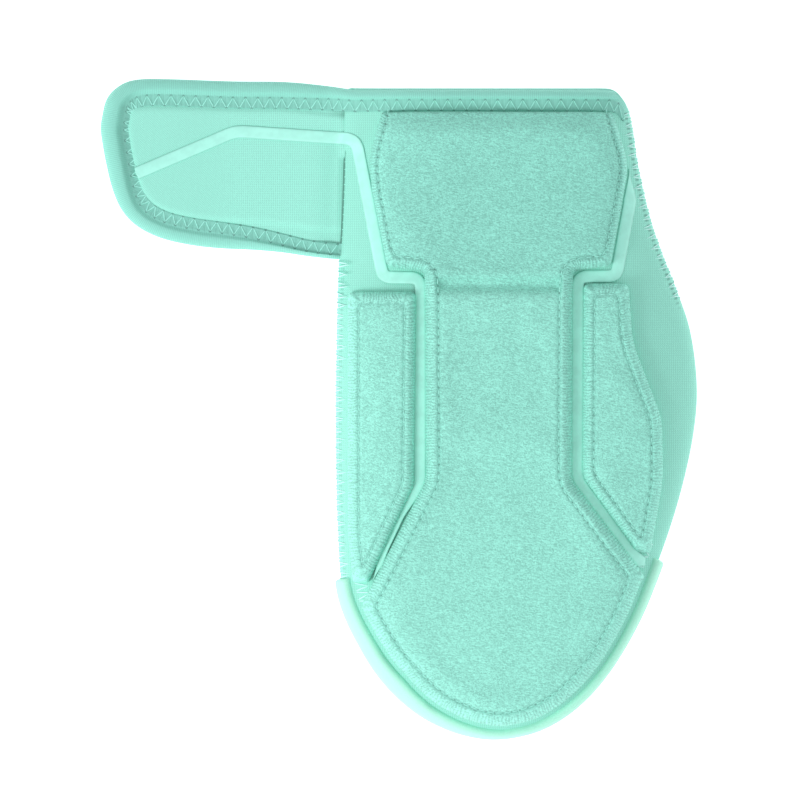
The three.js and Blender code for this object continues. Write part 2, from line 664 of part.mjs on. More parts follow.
function strapBinding() {
  const edge = measured(
    strapCurve(STRAP_EDGE)
      .getSpacedPoints(FACETS.outline)
      .map((p) => place({ out: p.x, down: p.y })),
  );
  const step = 1 / edge.length;
  const frames = stations(edge, RIBBON_FACET.tape).map((share) => {
    const at = edge.at(share);
    const ahead = edge.at(share + step).sub(edge.at(share - step));
    const slope = strapSlope(at.x);
    const side = share === 0 || share === 1 ? flat(0, share ? 1 : -1) : flat(-ahead.y, ahead.x);
    const inward = side.setZ(side.x * slope).normalize();
    const up = new THREE.Vector3(-slope, 0, 1).normalize();
    return { at: at.setZ(strapHeight(at.x) + STRAP_THICKNESS / 2), inward, up, wall: STRAP_THICKNESS };
  });
  return sweptSolid(frames, tapeSection);
}

// The tape round the wrist opening starts over the left seam, crosses the back to the right corner
// and comes back under the palm to the left. Turns are degrees up or down from the seam.
const WRIST_TAPE_START = 21;
const WRIST_TAPE_END = 25;
const BACK_STEPS = 7;
const PALM_STEPS = 5;

function wristBinding() {
  const onBack = { reach: DOME_REACH, height: backHeight, wall: BACK_WALL };
  const onPalm = { reach: TRAY_REACH, height: palmHeight, wall: PALM_WALL };
  const arc = (panel, side, from, to, steps) =>
    evenly(steps).map((t) => ({ ...panel, side, turn: THREE.MathUtils.degToRad(mix(from, to, t)) }));
  const stops = [
    ...arc(onBack, -1, WRIST_TAPE_START, 90, BACK_STEPS),
    ...arc(onBack, 1, 90, 6, BACK_STEPS),
    ...arc(onPalm, 1, 6, 90, PALM_STEPS),
    ...arc(onPalm, -1, 90, WRIST_TAPE_END, PALM_STEPS),
  ];
  const point = ({ reach, height, side, turn }, y) => {
    const x = seamX(side, y) - side * reach * (1 - Math.cos(turn));
    return new THREE.Vector3(x, y, height(x, y));
  };
  const edge = stops.map((stop) => point(stop, 0));
  const frames = stops.map((stop, i) => {
    const along = edge[Math.min(i + 1, edge.length - 1)].clone().sub(edge[Math.max(i - 1, 0)]);
    const inward = point(stop, -TAPE_WIDTH).sub(edge[i]).divideScalar(TAPE_WIDTH);
    const up = flat(0, -1).cross(along).normalize();
    const at = edge[i].clone().addScaledVector(up, -stop.wall / 2);
    return { at, inward, up, wall: stop.wall };
  });
  return sweptSolid(frames, tapeSection);
}

function hookPatch() {
  const centre = place(HOOK_PLACE);
  const plate = new THREE.BoxGeometry(HOOK_LENGTH, HOOK_WIDTH, HOOK_THICKNESS);
  return plate.translate(centre.x, centre.y, strapRest - GAP - HOOK_THICKNESS / 2);
}

// Each piece with its colour and roughness
const JERSEY = { color: 0x96e0d0, roughness: 0.85, metalness: 0 };
const LOOP_CLOTH = { color: 0x8fd9c9, roughness: 0.95, metalness: 0 };
const TAPE = { color: 0x8bd5c5, roughness: 0.8, metalness: 0 };
const FILM = { color: 0xb8feef, roughness: 0.4, metalness: 0 };
const RUBBER = { color: 0xb4f2e4, roughness: 0.5, metalness: 0 };
const HOOK = { color: 0x7fcbbb, roughness: 0.7, metalness: 0 };
const pieces = [
  ["back_panel", backPanel(), JERSEY],
  ["palm_panel", palmPanel(), JERSEY],
  ["wrist_pad", coverPad(1), LOOP_CLOTH],
  ["hand_pad", coverPad(-1), LOOP_CLOTH],
  ["little_finger_pad", sidePad(littlePad), LOOP_CLOTH],
  ["thumb_pad", sidePad(thumbPad), LOOP_CLOTH],
  ["strap", strap(), JERSEY],
  ["strap_binding", strapBinding(), TAPE],
  ["wrist_binding", wristBinding(), TAPE],
  ["strap_film", film(STRAP_FILM), FILM],
  ["thumb_film", film(THUMB_FILM), FILM],
  ["bumper", bumper(), RUBBER],
  ["hook_patch", hookPatch(), HOOK],
];

const mitt = new THREE.Group();
pieces.forEach(([name, geometry, look]) => {
  const mesh = new THREE.Mesh(geometry, new THREE.MeshStandardMaterial(look));
  mesh.name = name;
  mitt.add(mesh);
});
const box = new THREE.Box3().setFromObject(mitt);
const centre = box.getCenter(new THREE.Vector3());
mitt.position.set(-centre.x, -centre.y, -box.min.z);

export default mitt;
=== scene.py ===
"""A padded sliding mitt: cloth pads, jersey shell, folded tape, films, rubber bumper and stitches.

Shapes are worked out in metres in the mitt's own datum: x = 0 is the middle of the hand pad, y = 0
the wrist edge, z = 0 the palm's datum. They are moved into the frame when a mesh is made.
"""

import logging
import math
from collections.abc import Callable
from dataclasses import dataclass, field
from enum import Enum
from typing import NamedTuple

import bpy
import numpy as np
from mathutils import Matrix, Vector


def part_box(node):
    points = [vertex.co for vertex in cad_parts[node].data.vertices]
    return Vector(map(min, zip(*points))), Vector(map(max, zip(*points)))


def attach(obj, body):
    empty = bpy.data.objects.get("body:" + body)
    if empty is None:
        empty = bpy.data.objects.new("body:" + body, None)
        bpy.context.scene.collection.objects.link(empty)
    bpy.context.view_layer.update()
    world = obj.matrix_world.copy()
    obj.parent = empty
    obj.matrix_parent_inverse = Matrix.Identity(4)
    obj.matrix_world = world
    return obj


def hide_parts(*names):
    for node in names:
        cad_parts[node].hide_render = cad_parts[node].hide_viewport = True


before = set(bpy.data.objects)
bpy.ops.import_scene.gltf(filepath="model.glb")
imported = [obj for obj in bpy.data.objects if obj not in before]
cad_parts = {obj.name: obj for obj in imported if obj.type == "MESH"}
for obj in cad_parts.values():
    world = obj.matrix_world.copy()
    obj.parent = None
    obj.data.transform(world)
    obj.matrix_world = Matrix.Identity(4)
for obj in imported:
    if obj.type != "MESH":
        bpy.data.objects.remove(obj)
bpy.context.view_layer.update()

Array = np.ndarray
Piece = bpy.types.Object
Socket = bpy.types.NodeSocket
Tree = bpy.types.NodeTree
LOG = logging.getLogger("mitt")
MM = 0.001

BACK_LOW, BACK_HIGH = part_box("back_panel")
PALM_LOW, PALM_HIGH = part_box("palm_panel")
WIDEST_LEFT = -0.4556
WIDEST_RIGHT = 0.5472
LENGTH = BACK_HIGH.y - BACK_LOW.y
WIDTH = (BACK_HIGH.x - BACK_LOW.x) / (WIDEST_RIGHT - WIDEST_LEFT)
HALF_GAP = 0.15 * MM
DATUM = np.array([BACK_LOW.x - WIDEST_LEFT * WIDTH, BACK_HIGH.y, PALM_LOW.z + HALF_GAP])
LIFT_CLEAR = 0.05 * MM
STITCH_PITCH = 3.6 * MM
LOOP_PITCH = 2.2 * MM
ZIGZAG_PITCH = 5.3 * MM
ZIGZAG_HOLES = (0.04, 0.94)
BAND_WIDTH = 5 * MM


class BodySection(NamedTuple):
    """A section of the hand pocket, in shares of its length, its width and the back's rise."""

    along: float
    left: float
    right: float
    rise: float


class Corner(NamedTuple):
    """A corner of a pad or film, in shares of the pocket's width and length.

    radius rounds it, in shares of the rolled border. A key corner is matched with the other side's.
    """

    across: float
    along: float
    radius: float = 0.0
    key: bool = False


class StrapCorner(NamedTuple):
    """A corner on the strap, in shares of its length from the root and of its width."""

    out: float
    down: float
    radius: float = 0.0


class LoopRow(NamedTuple):
    """A row of overlock loops: which side, from where to where, and its loops' turns over the seam."""

    is_left: bool
    top: float
    bottom: float
    start: float
    end: float


BODY_SECTIONS = [BodySection(*row) for row in (
    (0.0, -0.4306, 0.3444, 0.84),
    (0.0528, -0.4319, 0.3667, 0.85),
    (0.1134, -0.4347, 0.3833, 0.86),
    (0.2005, -0.4403, 0.4194, 0.88),
    (0.2549, -0.4458, 0.4528, 0.91),
    (0.3061, -0.45, 0.4889, 0.94),
    (0.3714, -0.4528, 0.5278, 0.98),
    (0.4615, WIDEST_LEFT, WIDEST_RIGHT, 1.0),
    (0.5268, WIDEST_LEFT, 0.5389, 1.0),
    (0.6045, -0.4542, 0.5111, 0.97),
    (0.6822, -0.45, 0.4708, 0.91),
    (0.7754, -0.4375, 0.4097, 0.82),
    (0.8127, -0.4181, 0.3814, 0.78),
    (0.8578, -0.3792, 0.3389, 0.73),
    (0.8998, -0.3333, 0.2906, 0.68),
    (0.9355, -0.2778, 0.2375, 0.65),
    (0.9658, -0.2103, 0.1747, 0.62),
    (0.9868, -0.1347, 0.1064, 0.61),
    (0.997, -0.0694, 0.0403, 0.6),
)]
TOE = Corner(-0.0167, 1.0)
STRAP_EDGE = [StrapCorner(*row) for row in (
    (0.0, 0.0),
    (0.23, -0.036),
    (0.46, -0.042),
    (0.74, -0.056),
    (0.84, -0.056),
    (0.9, -0.042),
    (0.947, -0.002),
    (0.978, 0.052),
    (0.993, 0.14),
    (1.0, 0.218),
    (0.991, 0.31),
    (0.972, 0.44),
    (0.94, 0.6),
    (0.9, 0.715),
    (0.845, 0.795),
    (0.75, 0.865),
    (0.62, 0.91),
    (0.5, 0.93),
    (0.36, 0.94),
    (0.24, 0.955),
    (0.12, 0.98),
    (0.0, 1.0),
)]
PAD_START = 0.034
COVER_LEFT = [Corner(*row) for row in (
    (-0.3306, PAD_START, 0, True),
    (-0.3639, 0.108, 11),
    (-0.3556, 0.154, 11),
    (-0.3139, 0.273, 1.3, True),
    (-0.2111, 0.2805, 1.2, True),
    (-0.2083, 0.32, 11),
    (-0.2056, 0.604, 5, True),
    (-0.3833, 0.797, 3, True),
)]
COVER_RIGHT = [Corner(*row) for row in (
    (0.3139, PAD_START, 0, True),
    (0.3569, 0.115, 11),
    (0.3056, 0.273, 1.3, True),
    (0.2028, 0.279, 1.2, True),
    (0.2, 0.32, 11),
    (0.1981, 0.604, 3.5, True),
    (0.403, 0.755, 1.5, True),
)]
LITTLE_PAD_LEFT = [Corner(*row) for row in (
    (-0.382, 0.3123),
    (-0.4222, 0.3123, 2.9),
    (-0.4222, 0.69, 23),
    (-0.4085, 0.762, 1),
    (-0.4, 0.7637),
)]
LITTLE_PAD_RIGHT = [Corner(*row) for row in (
    (-0.274, 0.3123),
    (-0.2333, 0.3123, 2.9),
    (-0.2392, 0.613, 2.6),
    (-0.3656, 0.764, 1),
    (-0.382, 0.764),
)]
THUMB_PAD_LEFT = [Corner(*row) for row in (
    (0.27, 0.2995),
    (0.2306, 0.2995, 2.8),
    (0.2278, 0.6, 3.8),
    (0.375, 0.7135, 1.5),
    (0.388, 0.7167),
)]
THUMB_PAD_RIGHT = [Corner(*row) for row in (
    (0.315, 0.2995),
    (0.3556, 0.2995, 3.1),
    (0.3667, 0.39, 15),
    (0.4486, 0.51, 11),
    (0.4514, 0.605, 23),
    (0.417, 0.7175, 1.3),
    (0.404, 0.7177),
)]
STRAP_FILM = [
    StrapCorner(0.866, 0.5),
    StrapCorner(0.45, 0.2394, 6),
    Corner(-0.4, 0.0746, 2.3),
    Corner(-0.325, 0.2898, 1.5),
    Corner(-0.221, 0.2906, 1.5),
    Corner(-0.2226, 0.611, 4.6),
    Corner(-0.2722, 0.6589, 8),
    Corner(-0.3178, 0.7133, 8),
    Corner(-0.356, 0.765),
]
THUMB_FILM = [Corner(*row) for row in (
    (0.3583, 0.12),
    (0.3606, 0.171, 8),
    (0.322, 0.288, 1.5),
    (0.215, 0.2885, 1.5),
    (0.213, 0.603, 3.5),
    (0.37, 0.7202, 8),
    (0.402, 0.7385),
)]


def mix(a: float | Array, b: float | Array, t: float | Array) -> float | Array:
    """The value at share t of the way from a to b."""
    return a + (b - a) * t


def smooth(t: Array | float) -> Array:
    """A soft step from 0 to 1: three t squared less two t cubed, with t held between 0 and 1."""
    held = np.clip(t, 0.0, 1.0)
    return held * held * (3 - 2 * held)


def bell(t: Array | float) -> Array:
    """A hump of height 1 round t = 0: e to the power of minus t squared."""
    return np.exp(-np.square(t))


def unit(vectors: Array) -> Array:
    """Vectors of length 1 in the same directions."""
    return vectors / np.maximum(np.linalg.norm(vectors, axis=-1, keepdims=True), 1e-12)


def reached(line: Array) -> Array:
    """Distance run along a line at each of its points."""
    return np.concatenate([[0.0], np.cumsum(np.linalg.norm(np.diff(line, axis=0), axis=1))])


def along_line(line: Array, run: Array) -> Array:
    """Points of a line at given distances run along it, with straight steps between its points."""
    at = reached(line)
    return np.stack([np.interp(run, at, line[:, k]) for k in range(line.shape[1])], axis=-1)


def spaced(line: Array, shares: Array) -> Array:
    """Points of a line at given shares of its length."""
    return along_line(line, np.asarray(shares) * reached(line)[-1])


def averaged(values: Array, reach: int) -> Array:
    """Values along a line, each the mean of its neighbours up to reach steps away."""
    padded = np.pad(values, [(reach, reach)] + [(0, 0)] * (values.ndim - 1), mode="edge")
    summed = np.cumsum(np.concatenate([np.zeros_like(padded[:1]), padded]), axis=0)
    return (summed[2 * reach + 1 :] - summed[: -2 * reach - 1]) / (2 * reach + 1)


def curve_through(points: Array, steps: int) -> Array:
    """A centripetal Catmull-Rom curve through points.

    Between two points it is the cubic with tangents from its neighbours, weighted by the square
    roots of the three distances. At the ends the line is carried straight on.

    Args:
        points: the points that it passes through.
        steps: how many steps there are between two of them.

    Returns:
        The curve's points.
    """
    p = np.vstack([2 * points[:1] - points[1:2], points, 2 * points[-1:] - points[-2:-1]])
    p0, p1, p2, p3 = p[:-3], p[1:-2], p[2:-1], p[3:]
    d0, d1, d2 = (
        np.sqrt(np.maximum(np.linalg.norm(b - a, axis=1, keepdims=True), 1e-9))
        for a, b in ((p0, p1), (p1, p2), (p2, p3))
    )
    start = ((p1 - p0) / d0 - (p2 - p0) / (d0 + d1) + (p2 - p1) / d1) * d1
    end = ((p2 - p1) / d1 - (p3 - p1) / (d1 + d2) + (p3 - p2) / d2) * d1
    t = np.linspace(0, 1, steps, endpoint=False)[None, :, None]
    a, b, m, n = p1[:, None], p2[:, None], start[:, None], end[:, None]
    curve = a + m * t + (3 * (b - a) - 2 * m - n) * t**2 + (2 * (a - b) + m + n) * t**3
    return np.vstack([curve.reshape(-1, points.shape[1]), points[-1:]])


def nearest(line: Array, x: Array, y: Array) -> tuple[Array, Array]:
    """The nearest place of a line of plan points to each place of a grid.

    Each place is dropped at right angles onto every step of the line, and the closest foot wins.

    Args:
        line: plan points of the line.
        x: the places' x.
        y: the places' y.

    Returns:
        The distance to the line and the distance run along it, both shaped as x.
    """
    a, step = line[:-1], np.diff(line, axis=0)
    length = np.maximum(np.linalg.norm(step, axis=1), 1e-12)
    run = reached(line)[:-1]
    px, py = np.ravel(x), np.ravel(y)
    gap, at = np.empty(px.size), np.empty(px.size)
    for part in np.array_split(np.arange(px.size), px.size // 3000 + 1):
        dx, dy = px[part, None] - a[:, 0], py[part, None] - a[:, 1]
        share = np.clip((dx * step[:, 0] + dy * step[:, 1]) / length**2, 0, 1)
        away = np.hypot(dx - share * step[:, 0], dy - share * step[:, 1])
        best = away.argmin(1)
        row = np.arange(len(part))
        gap[part] = away[row, best]
        at[part] = run[best] + share[row, best] * length[best]
    return gap.reshape(np.shape(x)), at.reshape(np.shape(x))


def graded(count: int, start: float = 1.0, end: float = 1.0) -> Array:
    """Shares from 0 to 1 that crowd towards an end whose power is over 1.

    A share is t to the power of start, mixed over to one less (1 - t) to the power of end.
    """
    t = np.linspace(0, 1, count + 1)
    return mix(t**start, 1 - (1 - t) ** end, t)


def inset_shares(length: float, insets: Array, step: float) -> Array:
    """Shares of one line: at the insets from both its ends, and about a step apart between them."""
    near = insets / length
    middle = max(int((length - 2 * insets[-1]) / step), 1)
    return np.concatenate([near, np.linspace(near[-1], 1 - near[-1], middle + 2)[1:-1], 1 - near[::-1]])


def chord_grid(left: Array, right: Array, insets: Array, middle: int) -> tuple[Array, Array]:
    """A grid of plan points on straight rows between two lines.

    A row's columns lie at the insets from both its ends, and evenly between. On a row too short
    for the insets they are scaled down together.

    Args:
        left: the rows' left ends.
        right: the rows' right ends.
        insets: distances of the first columns from a row's end.
        middle: how many columns lie between the deepest insets.

    Returns:
        The plan points and each one's share of its row.
    """
    length = np.maximum(np.linalg.norm(right - left, axis=1, keepdims=True), 1e-7)
    near = insets[None] * np.minimum(1.0, 0.47 * length / insets[-1]) / length
    inner = near[:, -1:]
    between = mix(inner, 1 - inner, np.linspace(0, 1, middle + 2)[1:-1])
    shares = np.hstack([near, between, 1 - near[:, ::-1]])
    return left[:, None] + (right - left)[:, None] * shares[..., None], shares


def quads_of(index: Array) -> Array:
    """Four-sided faces of a grid of point numbers."""
    corners = (index[:-1, :-1], index[:-1, 1:], index[1:, 1:], index[1:, :-1])
    return np.stack([c.ravel() for c in corners], axis=1)


def facing_out(points: Array, faces: list[Array]) -> list[Array]:
    """Faces of a closed body, turned round if they point inwards, which its volume's sign tells."""
    volume = 0.0
    for part in faces:
        a = points[part[:, 0]]
        for k in range(1, part.shape[1] - 1):
            volume += np.einsum("ij,ij->", a, np.cross(points[part[:, k]], points[part[:, k + 1]]))
    return faces if volume > 0 else [part[:, ::-1] for part in faces]


class Finish(Enum):
    """The finishes that each piece is listed under."""

    JERSEY = "jersey"
    LOOP_CLOTH = "loop_cloth"
    TAPE = "tape"
    FILM = "film"
    RUBBER = "rubber"
    HOOK = "hook"


def make_piece(
    name: str, points: Array, faces: list[Array], seam: Array | None = None, sharp: float = 60.0
) -> Piece:
    """Makes a smooth-shaded mesh object from points in the datum.

    Args:
        name: the piece's name.
        points: its points, one row each.
        faces: arrays of point numbers, one array for each number of corners.
        seam: three numbers for each point that a material reads: the run along a seam and two
            distances in from it.
        sharp: edges that turn more than this, in degrees, stay sharp.

    Returns:
        The object, at the frame's origin.
    """
    mesh = bpy.data.meshes.new(name)
    placed = (points + DATUM).astype(np.float32)
    corners = np.concatenate([part.ravel() for part in faces]).astype(np.int32)
    sizes = np.concatenate([np.full(len(part), part.shape[1]) for part in faces])
    mesh.vertices.add(len(placed))
    mesh.vertices.foreach_set("co", placed.ravel())
    mesh.loops.add(len(corners))
    mesh.loops.foreach_set("vertex_index", corners)
    mesh.polygons.add(len(sizes))
    mesh.polygons.foreach_set("loop_start", (np.cumsum(sizes) - sizes).astype(np.int32))
    mesh.update(calc_edges=True)
    mesh.validate()
    if seam is not None:
        layer = mesh.attributes.new("seam", "FLOAT_VECTOR", "POINT")
        layer.data.foreach_set("vector", seam.astype(np.float32).ravel())
    mesh.shade_smooth()
    mesh.set_sharp_from_angle(angle=math.radians(sharp))
    piece = bpy.data.objects.new(name, mesh)
    bpy.context.scene.collection.objects.link(piece)
    return piece


def make_solid(
    name: str, upper: Array, lower: Array, seam: Array | None = None, sharp: float = 60.0
) -> Piece:
    """Makes a closed piece between two grids of points that have as many rows and columns.

    Args:
        name: the piece's name.
        upper: the upper grid, rows by columns by three.
        lower: the lower grid.
        seam: seam numbers of the upper grid, which the lower one shares.
        sharp: as in make_piece.

    Returns:
        The object.
    """
    rows, columns = upper.shape[:2]
    index = np.arange(rows * columns).reshape(rows, columns)
    loop = np.concatenate([index[:-1, 0], index[-1, :-1], index[:0:-1, -1], index[0, :0:-1]])
    ahead = np.roll(loop, -1)
    points = np.vstack([upper.reshape(-1, 3), lower.reshape(-1, 3)])
    top = quads_of(index)
    under = quads_of(index)[:, ::-1] + index.size
    sides = np.stack([loop, ahead, ahead + index.size, loop + index.size], axis=1)
    faces = facing_out(points, [np.vstack([top, under, sides])])
    both = None if seam is None else np.vstack([seam.reshape(-1, 3)] * 2)
    return make_piece(name, points, faces, both, sharp)


def make_sweep(name: str, rings: Array, seam: Array | None = None) -> Piece:
    """Makes a closed piece from rings of points carried along a path, with flat ends.

    Args:
        name: the piece's name.
        rings: stations by points of a ring by three.
        seam: seam numbers of the same points.

    Returns:
        The object.
    """
    count, around = rings.shape[:2]
    index = np.arange(count * around).reshape(count, around)
    faces = [quads_of(np.hstack([index, index[:, :1]])), np.stack([index[0], index[-1][::-1]])]
    points = rings.reshape(-1, 3)
    flat_seam = None if seam is None else seam.reshape(-1, 3)
    return make_piece(name, points, facing_out(points, faces), flat_seam)


def make_threads(name: str, paths: Array, up: Array, radius: float) -> Piece:
    """Makes many short threads in one piece.

    Each is a tube along its own path: the path's points plus a circle of six points in the plane
    of the up direction and the side direction. It thins towards its rounded ends.

    Args:
        name: the piece's name.
        paths: threads by points by three.
        up: threads by three, roughly at right angles to each path.
        radius: of the thread.

    Returns:
        The object.
    """
    around = 6
    count, steps = paths.shape[:2]
    ahead = unit(np.gradient(paths, axis=1))
    side = unit(np.cross(ahead, up[:, None]))
    over = np.cross(side, ahead)
    turn = np.linspace(0, 2 * np.pi, around, endpoint=False)
    share = np.linspace(-1, 1, steps)
    thick = radius * (1 - 0.75 * np.abs(share) ** 5)
    circle = side[:, :, None] * np.cos(turn)[:, None] + over[:, :, None] * np.sin(turn)[:, None]
    points = (paths[:, :, None] + circle * thick[None, :, None, None]).reshape(-1, 3)
    index = np.arange(steps * around).reshape(steps, around)
    one = quads_of(np.hstack([index, index[:, :1]]))
    shift = (np.arange(count) * steps * around)[:, None, None]
    sides = (one[None] + shift).reshape(-1, 4)
    caps = (np.stack([index[0], index[-1][::-1]])[None] + shift).reshape(-1, around)
    return make_piece(name, points, facing_out(points, [sides, caps]))


@dataclass
class Pocket:
    """The hand pocket, the strap and the heights of all their faces."""

    seam_height: float = 13 * MM
    back_rise: float = 20 * MM
    back_wall: float = 3 * MM
    palm_wall: float = 4 * MM
    dome_reach: float = 45 * MM
    tray_reach: float = 16 * MM
    wrist_lift: float = 2.35 * MM
    wrist_lift_reach: float = 36 * MM
    gap: float = 0.3 * MM
    roll_radius: float = 2.6 * MM
    strap_length: float = 102 * MM
    strap_width: float = 70 * MM
    strap_thickness: float = 4 * MM
    strap_rest: float = 1.75 * MM
    strap_touchdown: float = 0.62
    soft_start: float = -0.1
    soft_blend: float = 26 * MM
    bridge_end: float = 27 * MM
    bridge_reach: float = 8 * MM
    bridge_fade: float = 6 * MM
    valley_depth: float = 1.3 * MM
    valley_out: float = 2.5 * MM
    valley_width: float = 6 * MM
    corner_dip: float = 7.4 * MM
    corner_reach: float = 5.7 * MM
    corner_fade: float = 22 * MM
    corner_spread: float = 6 * MM
    corner_curve: float = 12.8 * MM
    outline: Array = field(init=False)
    inward: Array = field(init=False)

    def __post_init__(self) -> None:
        """Works out the outline: a smooth curve down the left side, round the toe and up the right."""
        left = [self.place(Corner(row.left, row.along)) for row in BODY_SECTIONS]
        right = [self.place(Corner(row.right, row.along)) for row in reversed(BODY_SECTIONS)]
        curve = curve_through(np.array([*left, self.place(TOE), *right]), 24)
        self.outline = spaced(curve, np.linspace(0, 1, 721))
        ahead = unit(np.gradient(self.outline, axis=0))
        self.inward = np.stack([-ahead[:, 1], ahead[:, 0]], axis=1)

    @property
    def toe(self) -> int:
        """The outline's point that is furthest down."""
        return int(self.outline[:, 1].argmin())

    @property
    def strap_fall(self) -> float:
        """How far the strap comes down from its root at the side seam."""
        return self.seam_height - self.strap_thickness / 2 - self.strap_rest

    def seam_x(self, y: Array, side: int) -> Array:
        """The seam's x at y on the left side, -1, or the right, 1, held past the wrist edge."""
        line = self.outline[: self.toe + 1][::-1] if side < 0 else self.outline[self.toe :]
        return np.interp(y, line[:, 1], line[:, 0])

    def place(self, corner: Corner | StrapCorner) -> tuple[float, float]:
        """A corner's plan position: shares of the pocket, or of the strap from the side seam out."""
        if isinstance(corner, Corner):
            return corner.across * WIDTH, -corner.along * LENGTH
        y = -corner.down * self.strap_width
        return float(self.seam_x(y, -1)) - self.gap - corner.out * self.strap_length, y

    def rounded(self, corners: list[Corner | StrapCorner]) -> tuple[Array, list[float]]:
        """A line of corners, each rounded by a parabola that touches both its sides.

        Args:
            corners: the line's corners.

        Returns:
            The line's points and the distances run to its key corners.
        """
        at = np.array([self.place(c) for c in corners])
        points, keys = [at[:1]], [0]
        t = np.linspace(0, 1, 13)[:, None]
        for i in range(1, len(corners) - 1):
            back, ahead = at[i - 1] - at[i], at[i + 1] - at[i]
            sizes = np.linalg.norm(back), np.linalg.norm(ahead)
            half = np.arccos(np.clip(back @ ahead / (sizes[0] * sizes[1]), -1, 1)) / 2
            cut = corners[i].radius * self.roll_radius / np.tan(half)
            reach = min(cut, 0.48 * sizes[0], 0.48 * sizes[1])
            start, end = at[i] + back / sizes[0] * reach, at[i] + ahead / sizes[1] * reach
            bend = (1 - t) ** 2 * start + 2 * t * (1 - t) * at[i] + t**2 * end
            if isinstance(corners[i], Corner) and corners[i].key:
                keys.append(sum(len(p) for p in points) + len(t) // 2)
            points.append(bend)
        line = np.vstack([*points, at[-1:]])
        return line, [float(reached(line)[k]) for k in keys]

    def rise(self, y: Array) -> Array:
        """The back's crown over the seam: the sections' shares, averaged over 20 mm along."""
        rows = np.array(BODY_SECTIONS)
        near = [-(y + shift) / LENGTH for shift in np.linspace(-10, 10, 9) * MM]
        return self.back_rise * np.mean([np.interp(at, rows[:, 0], rows[:, 3]) for at in near], axis=0)

    def from_seam(self, x: Array, y: Array) -> Array:
        """Distance in plan from the seam, whose sides run straight on past the wrist edge."""
        ends = self.outline[[0, -1]] * [1, 0] + [0, self.dome_reach]
        return nearest(np.vstack([ends[:1], self.outline, ends[1:]]), x, y)[0]

    def back_height(self, x: Array, y: Array, wall: float = 0.0) -> Array:
        """Height of the back's face.

        The seam height plus the rise times (1 - open squared) to a power, where open falls from 1
        at the seam to 0 at the dome's reach. The power is 0.5, an ellipse, and 0.8 by the strap.
        """
        inside = np.maximum(self.from_seam(x, y) - wall, 0)
        shut = 1 - np.clip(inside / (self.dome_reach - wall), 0, 1)
        soft = smooth((self.soft_start * WIDTH - x) / self.soft_blend)
        soft = soft * smooth((y + self.strap_width) / self.soft_blend + 1)
        domed = (1 - shut * shut) ** mix(0.5, 0.8, soft)
        return self.seam_height + HALF_GAP + (self.rise(y) - wall) * domed + self.bridge(x, y, wall)

    def bridge(self, x: Array, y: Array, wall: float = 0.0) -> Array:
        """Lift by which the jersey runs on from the strap over the seam, near the wrist edge."""
        step = self.strap_rest + self.strap_fall + self.strap_thickness - self.seam_height - wall
        near = bell(np.maximum(x - self.outline[0, 0], 0) / self.bridge_reach)
        return step * near * smooth((y + self.bridge_end) / self.bridge_fade) * (wall == 0)

    def root_valley(self, x: Array, y: Array) -> Array:
        """Depth of the soft hollow where the strap folds at its root."""
        out = self.seam_x(y, -1) - x
        shown = smooth((-y - 10 * MM) / (14 * MM)) * smooth(out / (2 * MM))
        return self.valley_depth * bell((out - self.valley_out) / self.valley_width) * shown

    def dipped(self, plan: Array) -> Array:
        """Plan points moved down towards the toe by the wrist edge's corner at the thumb side.

        The move is a bell of the length of arc from the seam, which is about the root of a curve
        length times the distance plus the distance squared, and it fades out down from the edge.
        Near the seam the points move out with it.
        """
        x, y = plan[..., 0], plan[..., 1]
        inside = np.maximum(self.seam_x(y, 1) - x, 0)
        arc = np.sqrt(self.corner_curve * inside + inside**2)
        fade = smooth(1 + y / self.corner_fade)
        down = y - self.corner_dip * bell(arc / self.corner_reach) * fade
        out = self.seam_x(down, 1) - self.seam_x(y, 1)
        return np.stack([x + out * np.exp(-inside / self.corner_spread), down], axis=-1)

    def palm_height(self, x: Array, y: Array, wall: float = 0.0) -> Array:
        """Height of the palm's face: flat, rounded up to the seam as an ellipse, and turned up at
        the wrist edge for the tape."""
        inside = np.maximum(self.from_seam(x, y) - wall, 0)
        shut = 1 - np.clip(inside / (self.tray_reach - wall), 0, 1)
        floor = self.wrist_lift * (1 - smooth(-y / self.wrist_lift_reach)) + wall
        return self.seam_height - HALF_GAP - (self.seam_height - floor) * np.sqrt(1 - shut * shut)

    def strap_height(self, x: Array) -> Array:
        """Height of the strap's underside: a parabola down from the root to where it lies flat."""
        out = (self.outline[0, 0] - self.gap - x) / self.strap_length
        return self.strap_rest + self.strap_fall * np.clip(1 - out / self.strap_touchdown, 0, 1) ** 2

    def strap_slope(self, x: Array) -> Array:
        """Slope of the strap's underside along x."""
        return (self.strap_height(x + self.gap) - self.strap_height(x - self.gap)) / (2 * self.gap)

    def around(self, run: Array, turn: Array, lift: Array) -> Array:
        """Points on the shell's section at shares of the outline's run, lifted off its face.

        The turn is 0 at the seam, above it positive along the dome's ellipse, and below it
        negative along the tray's. The lift is along the ellipse's normal.
        """
        at = np.linspace(0, 1, len(self.outline))
        x, y, nx, ny = (
            np.interp(run, at, v[:, k]) for v in (self.outline, self.inward) for k in (0, 1)
        )
        reach = np.where(turn < 0, self.tray_reach, self.dome_reach)
        height = np.where(turn < 0, self.seam_height, self.rise(y))
        out, up = height * np.cos(turn), reach * np.sin(turn)
        scale = lift / np.hypot(out, up)
        inside = reach * (1 - np.cos(turn)) - out * scale
        z = self.seam_height + height * np.sin(turn) + up * scale
        return np.stack([x + nx * inside, y + ny * inside, z], axis=-1)

    def moved_in(self, distance: Array | float) -> Array:
        """The outline moved in at right angles, with its ends on the wrist edge."""
        moved = self.outline + self.inward * np.reshape(distance, (-1, 1))
        moved[[0, -1], 1] = 0
        return moved

    def halves(self, line: Array) -> tuple[Array, Array]:
        """The left and the right half of an outline, both from the wrist edge to the toe."""
        return line[: self.toe + 1], line[self.toe :][::-1]


